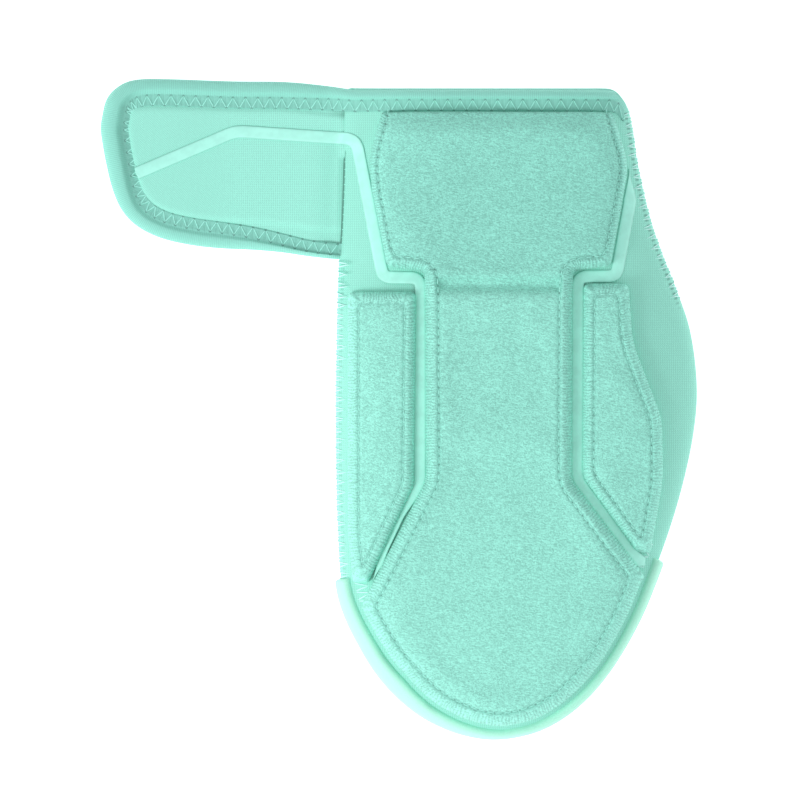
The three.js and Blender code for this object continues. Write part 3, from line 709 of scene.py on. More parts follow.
@dataclass
class Pads:
    """The moulded pads: their outlines and their relief over the back."""

    pocket: Pocket
    cover_thickness: float = 7 * MM
    side_thickness: float = 5.5 * MM
    seat: float = 0.7 * MM
    edge_share: float = 0.1
    groove_depth: float = 0.95 * MM
    groove_width: float = 0.8 * MM
    field_drop: float = 0.3 * MM
    tuck_depth: float = 5.2 * MM
    tuck_reach: float = 13 * MM
    wide_inset: float = 5.6 * MM
    narrow_inset: float = 3.1 * MM
    narrow_end: float = 64 * MM
    narrow_blend: float = 18 * MM
    crease_along: float = 0.3015
    crease_depth: float = 3.2 * MM
    crease_width: float = 3 * MM
    crease_inset: float = 4 * MM
    crease_fade: float = 3 * MM
    bumper_inset: float = 1.6 * MM
    bumper_lean: float = 5.5 * MM
    side_inset: float = 4.7 * MM
    outer_roll: float = 5.5 * MM
    groove_bend: float = 2.6 * MM
    edges: dict[str, Array] = field(init=False)
    grooves: dict[str, Array] = field(init=False)

    def __post_init__(self) -> None:
        """Works out each pad's edge, which is open at the wrist tape, and its sewn groove."""
        (left, _), (right, _) = self.cover_sides()
        above = np.array([0, 12 * MM])
        self.edges = {
            "cover_pad": np.vstack([left[:1] + above, left, right[::-1], right[:1] + above]),
            "little_pad_cloth": self.side_outline(LITTLE_PAD_LEFT, LITTLE_PAD_RIGHT),
            "thumb_pad_cloth": self.side_outline(THUMB_PAD_LEFT, THUMB_PAD_RIGHT),
        }
        self.grooves = {name: self.groove_line(name) for name in self.edges}

    def side_outline(self, left: list[Corner], right: list[Corner]) -> Array:
        """A side pad's closed outline from its left and right corners."""
        a, b = self.pocket.rounded(left)[0], self.pocket.rounded(right)[0]
        return np.vstack([a, b[::-1], a[:1]])

    def cover_sides(self) -> list[tuple[Array, list[float]]]:
        """The left and the right line of the wrist and hand pad, with the runs to their keys.

        Each follows its corners and then the bumper's upper edge to the toe.
        """
        pocket = self.pocket
        run = np.linspace(0, 1, len(pocket.outline))
        first, last = bumper_ends(pocket)
        lean = self.bumper_lean * np.interp((run - first) / (last - first), *BUMPER_EDGE)
        sides = []
        halves = pocket.halves(pocket.moved_in(lean + self.bumper_inset))
        for corners, line in zip((COVER_LEFT, COVER_RIGHT), halves):
            last = pocket.place(corners[-1])[1] - pocket.roll_radius
            toe = line[line[:, 1] < last]
            meeting = Corner(toe[0, 0] / WIDTH, -toe[0, 1] / LENGTH)
            bent, keys = pocket.rounded([*corners, meeting])
            sides.append((np.vstack([bent, toe[1:]]), keys))
        return sides

    def stitch_inset(self, name: str, y: Array) -> Array:
        """Distance of a pad's sewn groove from its edge: on the cover narrow by the wrist."""
        if name != "cover_pad":
            return np.full_like(y, self.side_inset)
        return mix(self.narrow_inset, self.wide_inset, smooth((-y - self.narrow_end) / self.narrow_blend))

    def groove_line(self, name: str) -> Array:
        """A pad's edge moved in by its inset, less where it would cross itself, with soft bends."""
        edge = self.edges[name]
        line = spaced(edge, np.linspace(0, 1, 1600))
        turned = np.gradient(line, axis=0)
        is_closed = np.allclose(line[0], line[-1])
        if is_closed:
            turned[[0, -1]] = line[1] - line[-2]
        side = unit(np.stack([-turned[:, 1], turned[:, 0]], axis=1))
        inset = self.stitch_inset(name, line[:, 1])
        moved = line + side * inset[:, None]
        kept = moved[nearest(edge, moved[:, 0], moved[:, 1])[0] > inset * 0.96]
        if is_closed:
            kept = np.vstack([kept, kept[:1]])
        step = 0.25 * MM
        even = spaced(kept, np.linspace(0, 1, int(reached(kept)[-1] / step)))
        reach = int(self.groove_bend / step)
        if not is_closed:
            return averaged(averaged(even, reach), reach // 2)
        wrapped = np.vstack([even[-2 * reach - 1 : -1], even, even[1 : 2 * reach + 1]])
        bent = averaged(averaged(wrapped, reach), reach // 2)[2 * reach : -2 * reach]
        return np.vstack([bent, bent[:1]])

    def relief(self, thickness: float, inward: Array, inset: Array, off: Array, roll: Array) -> Array:
        """Height of a pad over its seat.

        A quarter ellipse rises from the edge over the roll, a bell-shaped groove follows the
        groove's line, and the field inside it lies a little lower than the border.
        """
        rolled = np.sqrt(1 - (1 - np.clip(inward / roll, 0, 1)) ** 2)
        groove = self.groove_depth * bell(off / self.groove_width)
        field_in = self.field_drop * smooth((inward - inset) / (2 * MM))
        return thickness * mix(self.edge_share, 1, rolled) - groove - field_in

    def crease(self, y: Array, inward: Array) -> Array:
        """Depth of the flex crease between the wrist pad and the hand pad, inside the border."""
        across = bell((y + self.crease_along * LENGTH) / self.crease_width)
        return self.crease_depth * across * smooth((inward - self.crease_inset) / self.crease_fade)

    def tuck(self, y: Array) -> Array:
        """How far the wrist pad is pressed down where it runs under the tape."""
        start = PAD_START * LENGTH
        return self.tuck_depth * (1 - smooth((-y - start + 1 * MM) / self.tuck_reach)) ** 2

    def insets(self) -> Array:
        """Distances of a pad grid's first lines from its edge, close together where it rolls."""
        by_edge = [0, 0.04, 0.12, 0.26, 0.5, 0.8, 1.2]
        further = [1.7, 2.2, 2.7, 3.2, 3.7, 4.2, 4.7, 5.2, 5.7, 6.2, 6.8, 7.6]
        return np.array(by_edge + further) * MM

    def build_cover(self, lifted: bool) -> Piece:
        """Makes the cloth-covered wrist pad and hand pad, which share one rolled border.

        The grid's rows join the left and the right line between matched keys.

        Args:
            lifted: whether the cloth is blown up by a simulation.

        Returns:
            The piece.
        """
        steps = [graded(54, 1, 1.5), graded(12), graded(76, 1.25, 1), graded(46), graded(88)]
        lines = []
        for line, keys in self.cover_sides():
            marks = np.array([*keys, reached(line)[-1] - 0.25 * MM])
            spans = [mix(marks[i], marks[i + 1], s[(i > 0) :]) for i, s in enumerate(steps)]
            lines.append(along_line(line, np.concatenate(spans)))
        grid, _ = chord_grid(*lines, self.insets(), 66)
        return self.build_pad("cover_pad", grid, self.cover_thickness, lifted)

    def build_side(self, name: str, left: list[Corner], right: list[Corner], lifted: bool) -> Piece:
        """Makes a side pad between its left and right corners, its cloth blown up if lifted."""
        lines = [self.pocket.rounded(side)[0] for side in (left, right)]
        shares = inset_shares(reached(lines[0])[-1], self.insets(), 1.1 * MM)
        grid, _ = chord_grid(*[spaced(line, shares) for line in lines], self.insets(), 16)
        return self.build_pad(name, grid, self.side_thickness, lifted)

    def build_pad(self, name: str, grid: Array, thickness: float, lifted: bool) -> Piece:
        """Makes a pad: the back's height, the seat, the relief and what the simulation lifts.

        Args:
            name: the piece's name.
            grid: plan points.
            thickness: of its border.
            lifted: whether the cloth is blown up by a simulation.

        Returns:
            The piece.
        """
        x, y = grid[..., 0], grid[..., 1]
        inward = nearest(self.edges[name], x, y)[0]
        off, run = nearest(self.grooves[name], x, y)
        run = np.minimum(run, reached(self.grooves[name])[-1] - run) if name != "cover_pad" else run
        inset = self.stitch_inset(name, y)
        outer = smooth((-0.37 * WIDTH - x) / (5 * MM)) * (name == "little_pad_cloth")
        roll = mix(inset, self.outer_roll, outer)
        ground = self.pocket.back_height(x, y)
        top = ground + self.seat + self.relief(thickness, inward, inset, off, roll)
        if name == "cover_pad":
            top = top - self.crease(y, inward) - self.tuck(y)
        upper = np.dstack([x, y, top])
        if lifted:
            upper = upper + Inflation().lift(upper, inward > inset + 1.5 * MM)
        lower = np.dstack([x, y, np.minimum(ground + LIFT_CLEAR, top - LIFT_CLEAR)])
        piece = make_solid(name, upper, lower, np.dstack([run, inward, off]), 75)
        return piece

    def groove_height(self, name: str, points: Array) -> Array:
        """Height of the groove's floor at plan points on a pad's groove line."""
        thickness = self.cover_thickness if name == "cover_pad" else self.side_thickness
        floor = self.pocket.back_height(points[:, 0], points[:, 1]) + self.seat
        if name == "cover_pad":
            floor = floor - self.tuck(points[:, 1])
        return floor + thickness - self.groove_depth


# The bumper's ends as shares of the length, and its upper edge: shares of the way round, and how
# far it leans in from the seam as shares of its greatest lean.
BUMPER_LEFT = 0.757
BUMPER_RIGHT = 0.728
BUMPER_EDGE = ([0.0, 0.25, 0.5, 0.75, 1.0], [0.72, 1.0, 0.3, 0.3, 0.45])


def bumper_ends(pocket: Pocket) -> tuple[float, float]:
    """Shares of the outline's run at which the bumper starts and ends."""
    y = pocket.outline[:, 1]
    at = np.linspace(0, 1, len(y))
    first = at[np.argmax(y < -BUMPER_LEFT * LENGTH)]
    return first, at[len(y) - 1 - np.argmax(y[::-1] < -BUMPER_RIGHT * LENGTH)]


@dataclass
class Inflation:
    """A cloth over a pad's field, sewn down along its border and blown up from below."""

    pressure: float = 4.0
    frames: int = 20
    most: float = 1.1 * MM
    mass: float = 0.2
    stiffness: float = 4.0
    slack: float = 0.01
    rows: int = 52
    columns: int = 22

    def lift(self, upper: Array, loose: Array) -> Array:
        """How far the cloth moves each point of a pad's upper grid.

        A coarser grid of the same surface is simulated, and its movement is carried back to the
        fine one by bilinear weights and smoothed along rows and columns.

        Args:
            upper: the pad's upper grid.
            loose: which of its points aren't sewn down.

        Returns:
            The movement, shaped as upper.
        """
        rows, columns = upper.shape[:2]
        down = np.unique(np.linspace(0, rows - 1, min(self.rows, rows)).round().astype(int))
        over = np.unique(np.linspace(0, columns - 1, min(self.columns, columns)).round().astype(int))
        coarse = upper[np.ix_(down, over)]
        moved = self.simulate(coarse, ~loose[np.ix_(down, over)])
        fine = np.apply_along_axis(lambda v: np.interp(np.arange(rows), down, v), 0, moved)
        fine = np.apply_along_axis(lambda v: np.interp(np.arange(columns), over, v), 1, fine)
        softened = averaged(averaged(fine, 3), 3).transpose(1, 0, 2)
        return averaged(averaged(softened, 2), 2).transpose(1, 0, 2) * loose[..., None]

    def simulate(self, grid: Array, pinned: Array) -> Array:
        """Runs Blender's cloth on a grid and returns how far its points move, capped softly."""
        index = np.arange(pinned.size).reshape(pinned.shape)
        cloth = make_piece("cloth_under_pressure", grid.reshape(-1, 3), [quads_of(index)])
        sewn = cloth.vertex_groups.new(name="sewn")
        sewn.add(index[pinned].tolist(), 1.0, "REPLACE")
        before = read_points(cloth.data)
        modifier = cloth.modifiers.new("cloth", "CLOTH")
        settings = modifier.settings
        settings.vertex_group_mass = "sewn"
        settings.use_pressure = True
        settings.uniform_pressure_force = self.pressure
        settings.effector_weights.gravity = 0
        settings.mass = self.mass
        settings.bending_stiffness = self.stiffness
        settings.shrink_min = -self.slack
        modifier.collision_settings.use_collision = False
        for number in range(1, self.frames + 1):
            bpy.context.scene.frame_set(number)
        shown = cloth.evaluated_get(bpy.context.evaluated_depsgraph_get())
        moved = read_points(shown.data) - before
        bpy.data.objects.remove(cloth)
        bpy.context.scene.frame_set(1)
        size = np.linalg.norm(moved, axis=1, keepdims=True)
        LOG.info("cloth moved up to %.2f mm", size.max() / MM)
        capped = moved / np.maximum(size, 1e-9) * self.most * np.tanh(size / self.most)
        return capped.reshape(grid.shape)


def read_points(mesh: bpy.types.Mesh) -> Array:
    """A mesh's points, one row each."""
    flat = np.zeros(len(mesh.vertices) * 3, np.float32)
    mesh.vertices.foreach_get("co", flat)
    return flat.reshape(-1, 3).astype(float)


@dataclass
class Shell:
    """The jersey-faced panels: back, palm and strap."""

    pocket: Pocket
    tape_band: float = 9.4 * MM
    band_drop: float = 1.1 * MM
    ditch_width: float = 0.85 * MM
    ditch_depth: float = 2.8 * MM
    ditch_end: float = 72 * MM
    ditch_fade: float = 6 * MM
    strap_dip: float = 0.4 * MM
    strap_tuck: float = 1.2 * MM

    def body_grid(self, wall: float) -> Array:
        """The body's plan grid, moved in from the seam by a wall."""
        left, right = self.pocket.halves(self.pocket.moved_in(wall))
        insets = np.array([0, 0.1, 0.3, 0.7, 1.2, 1.9, 2.8, 4, 5.5, 7.5, 10, 13, 16.5, 20]) * MM
        shares = np.linspace(0, 0.9985, 230)
        grid = chord_grid(spaced(left, shares), spaced(right, shares), insets, 56)[0]
        return self.pocket.dipped(grid)

    def ditch(self, x: Array, y: Array) -> Array:
        """Depth of the folded seam where the strap is sewn to the body, below the bridge."""
        at = bell((x - self.pocket.seam_x(y, -1)) / self.ditch_width)
        below = smooth((1 * MM - self.pocket.bridge_end - y) / (3 * MM))
        return self.ditch_depth * at * below * smooth((y + self.ditch_end) / self.ditch_fade)

    def skin(self, x: Array, y: Array) -> Array:
        """Height of the back's outer face with its seams."""
        return self.pocket.back_height(x, y) - self.ditch(x, y)

    def strap_top(self, x: Array, y: Array, inward: Array) -> Array:
        """Height of the strap's face: pressed down under the tape, and padded inside it."""
        face = self.pocket.strap_height(x) + self.pocket.strap_thickness
        return face - self.pressed(inward) - self.ditch(x, y) - self.pocket.root_valley(x, y)

    def pressed(self, inward: Array) -> Array:
        """How far the tape presses each face of the strap in, by distance from its edge."""
        return self.band_drop * (1 - smooth((inward - self.tape_band) / (2.2 * MM)))

    def strap_edge(self) -> Array:
        """The strap's edge in plan, from its lower root round the tip to its upper root."""
        rows = np.array([(c.out, c.down) for c in reversed(STRAP_EDGE)])
        curve = spaced(curve_through(rows, 20), np.linspace(0, 1, 400))
        y = -curve[:, 1] * self.pocket.strap_width
        root = self.pocket.seam_x(y, -1) - self.pocket.gap
        return np.stack([root - curve[:, 0] * self.pocket.strap_length, y], axis=1)

    def root_gap(self, x: Array, y: Array) -> Array:
        """Distance from the strap's root seam, raised past the seam's ends."""
        below = smooth((2 * MM - self.pocket.bridge_end - y) / (3 * MM))
        along = below * smooth((y + 74 * MM) / (5 * MM))
        return np.abs(x - self.pocket.seam_x(y, -1)) + 4 * MM * (1 - along)

    def seam_numbers(self, x: Array, y: Array) -> Array:
        """Run along the side seam, distance from it and distance from the strap's root."""
        gap, run = nearest(self.pocket.outline, x, y)
        return np.dstack([run, gap, self.root_gap(x, y)])

    def build_back(self) -> Piece:
        """Makes the back panel: a dome between its outer face and a face one wall inside."""
        pocket = self.pocket
        grid, inner = self.body_grid(0), self.body_grid(pocket.back_wall)
        x, y = grid[..., 0], grid[..., 1]
        upper = np.dstack([grid, self.skin(x, y)])
        lower = np.dstack([inner, pocket.back_height(inner[..., 0], inner[..., 1], pocket.back_wall)])
        return make_solid("back_jersey", upper, lower, self.seam_numbers(x, y))

    def build_palm(self) -> Piece:
        """Makes the palm panel: a shallow tray between its inner and its outer face."""
        pocket = self.pocket
        inner, grid = self.body_grid(pocket.palm_wall), self.body_grid(0)
        x, y = grid[..., 0], grid[..., 1]
        upper = np.dstack([inner, pocket.palm_height(inner[..., 0], inner[..., 1], pocket.palm_wall)])
        lower = np.dstack([grid, pocket.palm_height(x, y)])
        return make_solid("palm_jersey", upper, lower, self.seam_numbers(x, y))

    def build_strap(self) -> Piece:
        """Makes the strap between its upper and its lower edge, on rows from the root to the tip."""
        edge = self.strap_edge()
        tip = int(edge[:, 0].argmin())
        shares = np.linspace(0, 0.998, 120)
        upper_line, lower_line = edge[tip:][::-1], edge[: tip + 1]
        insets = np.array([0, 1.5, 3.5, 6, 7.5, 8.5, 9.3, 10.1, 11, 12, 13.2, 15]) * MM
        grid, _ = chord_grid(spaced(upper_line, shares), spaced(lower_line, shares), insets, 44)
        grid[0, :, 0] += self.strap_tuck
        x, y = grid[..., 0], grid[..., 1]
        inward, run = nearest(edge, x, y)
        upper = np.dstack([x, y, self.strap_top(x, y, inward)])
        upper[0, :, 2] -= self.strap_dip
        lower = np.dstack([x, y, self.pocket.strap_height(x) + LIFT_CLEAR + 0.8 * self.pressed(inward)])
        return make_solid("strap_jersey", upper, lower, np.dstack([run, inward, self.root_gap(x, y)]))


@dataclass
class EdgeTape:
    """The folded tape round the strap and the wrist opening, with its zigzag stitches."""

    pocket: Pocket
    shell: Shell
    thickness: float = 0.7 * MM
    roll_width: float = 5.3 * MM
    wrist_roll_width: float = 2.6 * MM
    root_roll_width: float = 0.3 * MM
    tip_roll_width: float = 8.2 * MM
    band_width: float = BAND_WIDTH
    band_sink: float = 0.45 * MM
    edge_drop: float = 0.8 * MM
    nose: float = 1.5 * MM
    bulge: float = 1.4 * MM
    tip_bulge: float = 2.5 * MM
    tip_reach: float = 9 * MM
    crown_share: float = 0.52
    pitch: float = ZIGZAG_PITCH
    thread: float = 0.2 * MM
    wrist_inset: float = 1.2 * MM
    corner_share: float = 0.55
    turn_reach: float = 9 * MM
    upper_share: float = 0.62
    lower_run: float = 120 * MM
    station: float = 0.8 * MM
    path: Array = field(init=False)
    up: Array = field(init=False)
    inward: Array = field(init=False)
    wall: Array = field(init=False)
    roll: Array = field(init=False)
    swell: Array = field(init=False)
    run: Array = field(init=False)
    height_share: Array = field(init=False)
    turned: float = field(init=False)

    def __post_init__(self) -> None:
        """Lays the tape's path: the strap's edge, the back's wrist edge, the corner and the palm's."""
        curve = curve_through(np.vstack([self.strap_part()[::6], self.back_part(), self.palm_part()]), 12)
        count = int(reached(curve)[-1] / self.station)
        path = averaged(spaced(curve, np.linspace(0, 1, count)), 2)
        self.run = reached(path)
        on_strap = self.set_directions(path)
        corner, near = self.turn_corner(path)
        self.path = path
        self.set_section(on_strap, corner, near)

    def strap_part(self) -> Array:
        """The path round the strap, from just inside its lower root to its upper root."""
        pocket = self.pocket
        edge = self.shell.strap_edge()
        strap = np.column_stack([edge, pocket.strap_height(edge[:, 0]) + pocket.strap_thickness / 2])
        strap = strap[strap[:, 0] < pocket.outline[0, 0] - 3 * MM]
        start = [edge[0, 0] + 2.5 * MM, edge[0, 1], pocket.seam_height - 0.5 * MM]
        return np.vstack([start, strap])

    def back_part(self) -> Array:
        """The path along the back's wrist edge, over both halves of its dome."""
        pocket = self.pocket
        left = np.radians(np.linspace(30, 90, 12))
        right = np.pi - np.radians(np.linspace(90, 174, 16)[1:])
        x = np.concatenate([
            pocket.outline[0, 0] + pocket.dome_reach * (1 - np.cos(left)),
            pocket.outline[-1, 0] - pocket.dome_reach * (1 - np.cos(right)),
        ])
        z = pocket.back_height(x, 0 * x) - pocket.back_wall / 2
        return np.column_stack([x, np.full_like(x, -self.wrist_inset), z])

    def palm_part(self) -> Array:
        """The path along the palm's wrist edge, from the thumb's side back to the strap's."""
        pocket = self.pocket
        under = np.radians(np.linspace(12, 90, 9))
        right = pocket.outline[-1, 0] - pocket.tray_reach * (1 - np.cos(under))
        left = pocket.outline[0, 0] + pocket.tray_reach * (1 - np.cos(under[:0:-1]))
        x = np.concatenate([right, left[:-1]])
        return np.column_stack([x, 0 * x, pocket.palm_height(x, 0 * x) + pocket.palm_wall / 2])

    def set_directions(self, path: Array) -> Array:
        """Sets the direction up out of the panel and the one inward over it at each station.

        Args:
            path: the stations' points.

        Returns:
            How far each station belongs to the strap, as a column of shares.
        """
        ahead = unit(np.gradient(path, axis=0))
        turned = np.cross([0, -1, 0], ahead)
        slope = self.pocket.strap_slope(path[:, 0])
        flat = np.column_stack([-slope, 0 * slope, np.ones(len(path))])
        on_strap = smooth((self.pocket.outline[0, 0] + 2 * MM - path[:, 0]) / (6 * MM))
        is_upper = np.arange(len(path)) < len(path) * self.upper_share
        on_strap = np.where(is_upper, on_strap, 0.0)[:, None]
        up = unit(averaged(unit(mix(turned, unit(flat), on_strap)), 4))
        self.inward = unit(np.cross(ahead, up))
        self.up = np.cross(self.inward, ahead)
        return on_strap

    def turn_corner(self, path: Array) -> tuple[int, Array]:
        """Moves the path's own points in at the corner by the thumb, where the tape turns under.

        Args:
            path: the stations' points.

        Returns:
            The corner's station, and how near to it each station is as a share.
        """
        pocket = self.pocket
        elsewhere = (path[:, 2] <= pocket.seam_height / 2) | (path[:, 0] < 0)
        corner = np.argmin(np.abs(path[:, 2] - pocket.seam_height) + 99.0 * elsewhere)
        path[:, :2] = np.where(path[:, :1] > 0, pocket.dipped(path[:, :2]), path[:, :2])
        near = bell((self.run - self.run[corner]) / self.turn_reach)
        path[:, 0] -= self.up[:, 0] * pocket.back_wall * 0.5 * near
        return corner, near

    def set_section(self, on_strap: Array, corner: int, near: Array) -> None:
        """Sets the panel's wall and the size of the roll at each station.

        Args:
            on_strap: how far each station belongs to the strap.
            corner: the station where the tape turns under.
            near: how near to it each station is.
        """
        pocket, x = self.pocket, self.path[:, 0]
        root_x = pocket.outline[0, 0]
        self.turned = self.run[corner] - 2 * MM
        self.height_share = mix(0.3, 1, smooth(self.run / (6 * MM))) * mix(1, self.corner_share, near)
        strap_wall = pocket.strap_thickness - 2 * self.shell.band_drop
        wall = np.where(on_strap[:, 0] > 0.5, strap_wall, pocket.back_wall)
        wall = np.where(self.run > self.run[corner], pocket.palm_wall, wall)
        self.wall = averaged(wall, 6)
        tip = bell((x - x.min()) / self.tip_reach)
        wrist = smooth((x - root_x + 26 * MM) / (38 * MM))
        root = smooth((x - root_x + 60 * MM) / (50 * MM)) * (self.run < self.lower_run)
        roll = mix(self.roll_width, self.wrist_roll_width, wrist)
        roll = mix(roll, self.root_roll_width, root)
        self.roll = averaged(mix(roll, self.tip_roll_width, tip), 8)
        self.swell = averaged(mix(self.bulge, self.tip_bulge, tip), 8)

    def outer_height(self, inward: Array, wall: Array, roll: Array, bulge: float | Array) -> Array:
        """Height of the tape's outer face over the panel's middle.

        From the nose it rises as a quarter ellipse to the middle of the roll, falls as half a
        cosine to the stitched band, which sinks in slightly, and drops at the inner edge.
        """
        band = wall / 2 + 0.1 * MM + self.thickness
        crown = self.crown_share * roll
        top = band + bulge
        rising = top * np.sqrt(np.clip(1 - ((inward - crown) / (crown + self.nose)) ** 2, 0, 1))
        fall = 0.5 + 0.5 * np.cos(np.pi * np.clip((inward - crown) / (roll - crown), 0, 1))
        across = np.clip((inward - roll) / self.band_width, 0, 1)
        sunk = self.band_sink * np.sin(np.pi * across) + self.edge_drop * smooth(across * 8 - 7)
        falling = band + bulge * fall - sunk
        return np.where(inward < crown, rising, falling)

    def over_panel(self, points: Array, run: Array, clear: float) -> Array:
        """Points of the upper face, raised to lie clear of the back panel beside the wrist edge."""
        x, y = points[..., 0], points[..., 1]
        lowest = self.pocket.back_height(x, np.minimum(y, 0)) + clear
        over = (x > 0) & (run < self.turned) & (y < -1 * MM)
        points[..., 2] = np.where(over, np.maximum(points[..., 2], lowest), points[..., 2])
        return points

    def build(self) -> Piece:
        """Makes the tape: its fold's section carried along the path."""
        wall, roll = self.wall[:, None], self.roll[:, None]
        turn = np.linspace(np.pi, np.pi / 2, 9)[None]
        crown = self.crown_share * roll
        rise = crown + (crown + self.nose) * np.cos(turn)
        fall = crown + (roll - crown) * np.linspace(0, 1, 8)[1:]
        band = roll + self.band_width * np.array([0.2, 0.4, 0.6, 0.8, 0.9, 0.96, 1.0])
        outer = np.hstack([rise, fall, band])
        top = self.outer_height(outer, wall, roll, self.swell[:, None])
        low = -self.outer_height(outer, wall, roll, 0.25 * MM)
        slot = wall / 2 + LIFT_CLEAR
        inner = np.hstack([0 * roll - 0.3 * MM, 0 * roll - 0.3 * MM])
        end = roll + self.band_width
        a = np.hstack([outer, end, inner, end, outer[:, :0:-1]])
        b = np.hstack([top, slot, slot, -slot, -slot, low[:, :0:-1]]) * self.height_share[:, None]
        rings = self.path[:, None] + self.inward[:, None] * a[..., None]
        rings = rings + self.up[:, None] * b[..., None]
        face = outer.shape[1]
        clear = self.thickness * np.minimum((end - outer) / (0.8 * MM) + 0.1, 1)
        rings[:, :face] = self.over_panel(rings[:, :face], self.run[:, None], clear)
        across = (a - roll) / self.band_width
        seam = np.dstack([np.repeat(self.run[:, None], a.shape[1], axis=1), across, a])
        return make_sweep("edge_tape", rings, seam)

    def build_stitches(self) -> Piece:
        """Makes the zigzag thread: one arched thread from each needle hole to the next."""
        count = int(self.run[-1] / (self.pitch / 2))
        knots = np.arange(1, count) * self.pitch / 2
        share = np.where(np.arange(1, count) % 2 == 0, *ZIGZAG_HOLES)
        t = np.linspace(0, 1, 7)
        run = mix(knots[:-1, None], knots[1:, None], t)
        across = mix(share[:-1, None], share[1:, None], t)
        wall, roll, swell, share = (
            np.interp(run, self.run, values)
            for values in (self.wall, self.roll, self.swell, self.height_share)
        )
        inward = roll + across * self.band_width
        height = self.outer_height(inward, wall, roll, swell) * share
        height = height + 0.16 * MM * np.sin(np.pi * t) ** 0.5 - 0.02 * MM
        path, side, up = (
            np.stack([np.interp(run, self.run, values[:, k]) for k in range(3)], axis=-1)
            for values in (self.path, self.inward, self.up)
        )
        paths = path + side * inward[..., None] + up * height[..., None]
        paths = self.over_panel(paths, run, self.thickness + 0.14 * MM)
        return make_threads("zigzag_thread", paths, up[:, 3], self.thread)


@dataclass
class Films:
    """The smooth films bonded down the channels beside the pads."""

    pocket: Pocket
    pads: Pads
    width: float = 5.3 * MM
    least_half: float = 0.3 * MM
    thickness: float = 0.55 * MM
    end_share: float = 0.08
    channel_gap: float = -0.45 * MM
    end_spread: float = 1.4 * MM
    channel_lift: float = 1.0 * MM
    station: float = 0.9 * MM

    def ground(self, x: Array, y: Array) -> Array:
        """Height of what the film lies on: the strap's face left of the seam, the back beside it."""
        pocket = self.pocket
        side = pocket.seam_x(y, -1)
        strap = pocket.strap_height(x) + pocket.strap_thickness - pocket.root_valley(x, y)
        back = pocket.back_height(np.maximum(x, side + 0.2 * MM), y)
        near = smooth((x - side) / (6 * MM))
        return np.where(x < side, strap, mix(np.maximum(strap, back), back, near))

    def build(self, name: str, corners: list[Corner | StrapCorner], tapers: tuple[float, float]) -> Piece:
        """Makes a film along its rounded corners, as wide as the pads beside it leave room for.

        Args:
            name: the piece's name.
            corners: its middle line.
            tapers: lengths over which its start and its end come to a point.

        Returns:
            The piece.
        """
        line = self.pocket.rounded(corners)[0]
        count = int(reached(line)[-1] / self.station)
        line = averaged(spaced(line, np.linspace(0, 1, count)), 1)
        ahead = unit(np.gradient(line, axis=0))
        side = np.stack([ahead[:, 1], -ahead[:, 0]], axis=1)
        edges = self.pads.edges.values()
        room = np.min([nearest(edge, line[:, 0], line[:, 1])[0] for edge in edges], axis=0)
        at = reached(line)
        most = self.width / 2 + self.end_spread * smooth((at - at[-1] + 18 * MM) / (14 * MM))
        half = averaged(np.clip(room - self.channel_gap, self.least_half, most), 2)
        to_ends = (at / tapers[0], (at[-1] - at) / tapers[1])
        taper = np.clip(to_ends[0], self.end_share, 1) * np.clip(to_ends[1], self.end_share, 1)
        half = (half * taper)[:, None]
        across = np.array([-1, -0.97, -0.88, -0.6, -0.3, 0, 0.3, 0.6, 0.88, 0.97, 1.0])[None]
        plan = line[:, None] + side[:, None] * (half * across)[..., None]
        raised = self.channel_lift * smooth((-plan[..., 1] - 77 * MM) / (10 * MM))
        ground = self.ground(plan[..., 0], plan[..., 1]) + raised
        thick = self.thickness * np.clip(1 - across**8, 0, 1) ** 0.5
        run = np.repeat(at[:, None], across.size, axis=1)
        seam = np.dstack([run, half * across, half - np.abs(half * across)])
        upper = np.dstack([plan, ground + 0.1 * MM + thick])
        return make_solid(name, upper, np.dstack([plan, ground + 0.02 * MM]), seam)


@dataclass
class Bumper:
    """The moulded rim round the toe, over the seam, with a rounded section and rounded ends."""

    pocket: Pocket
    pads: Pads
    wall: float = 2.0 * MM
    seat: float = 0.6 * MM
    foot: float = 3.6 * MM
    thin: float = 0.25 * MM
    edge_radius: float = 1.6 * MM
    stations: int = 420

    def build(self) -> Piece:
        """Makes the rim: a layer over the shell's section from its foot to its leaning edge."""
        pocket = self.pocket
        first, last = bumper_ends(pocket)
        share = graded(self.stations, 1.15, 1.15)[:, None]
        run = mix(first, last, share)
        lean = self.pads.bumper_lean * np.interp(share, *BUMPER_EDGE)
        start = -math.asin(1 - self.foot / pocket.seam_height)
        top = np.arccos(1 - lean / pocket.dome_reach)
        t = graded(30, 1.5, 1.5)[None]
        turn = mix(start, top, t)
        size = np.where(turn < 0, pocket.seam_height, pocket.back_rise * 0.8)
        edge = np.minimum((turn - start), (top - turn)) * size
        length = (last - first) * reached(pocket.outline)[-1]
        end = np.minimum(share, 1 - share) * length
        rounded = [np.sqrt(1 - (1 - np.clip(v / self.edge_radius, 0, 1)) ** 2) for v in (edge, end)]
        lift = self.thin + (self.seat + self.wall - self.thin) * rounded[0] * rounded[1]
        outer = pocket.around(run, turn, lift)
        inner = pocket.around(run, turn, LIFT_CLEAR + 0 * edge)
        seam = np.dstack([share * length + 0 * t, edge, end + 0 * t])
        return make_solid("toe_bumper", outer, inner, seam, 75)


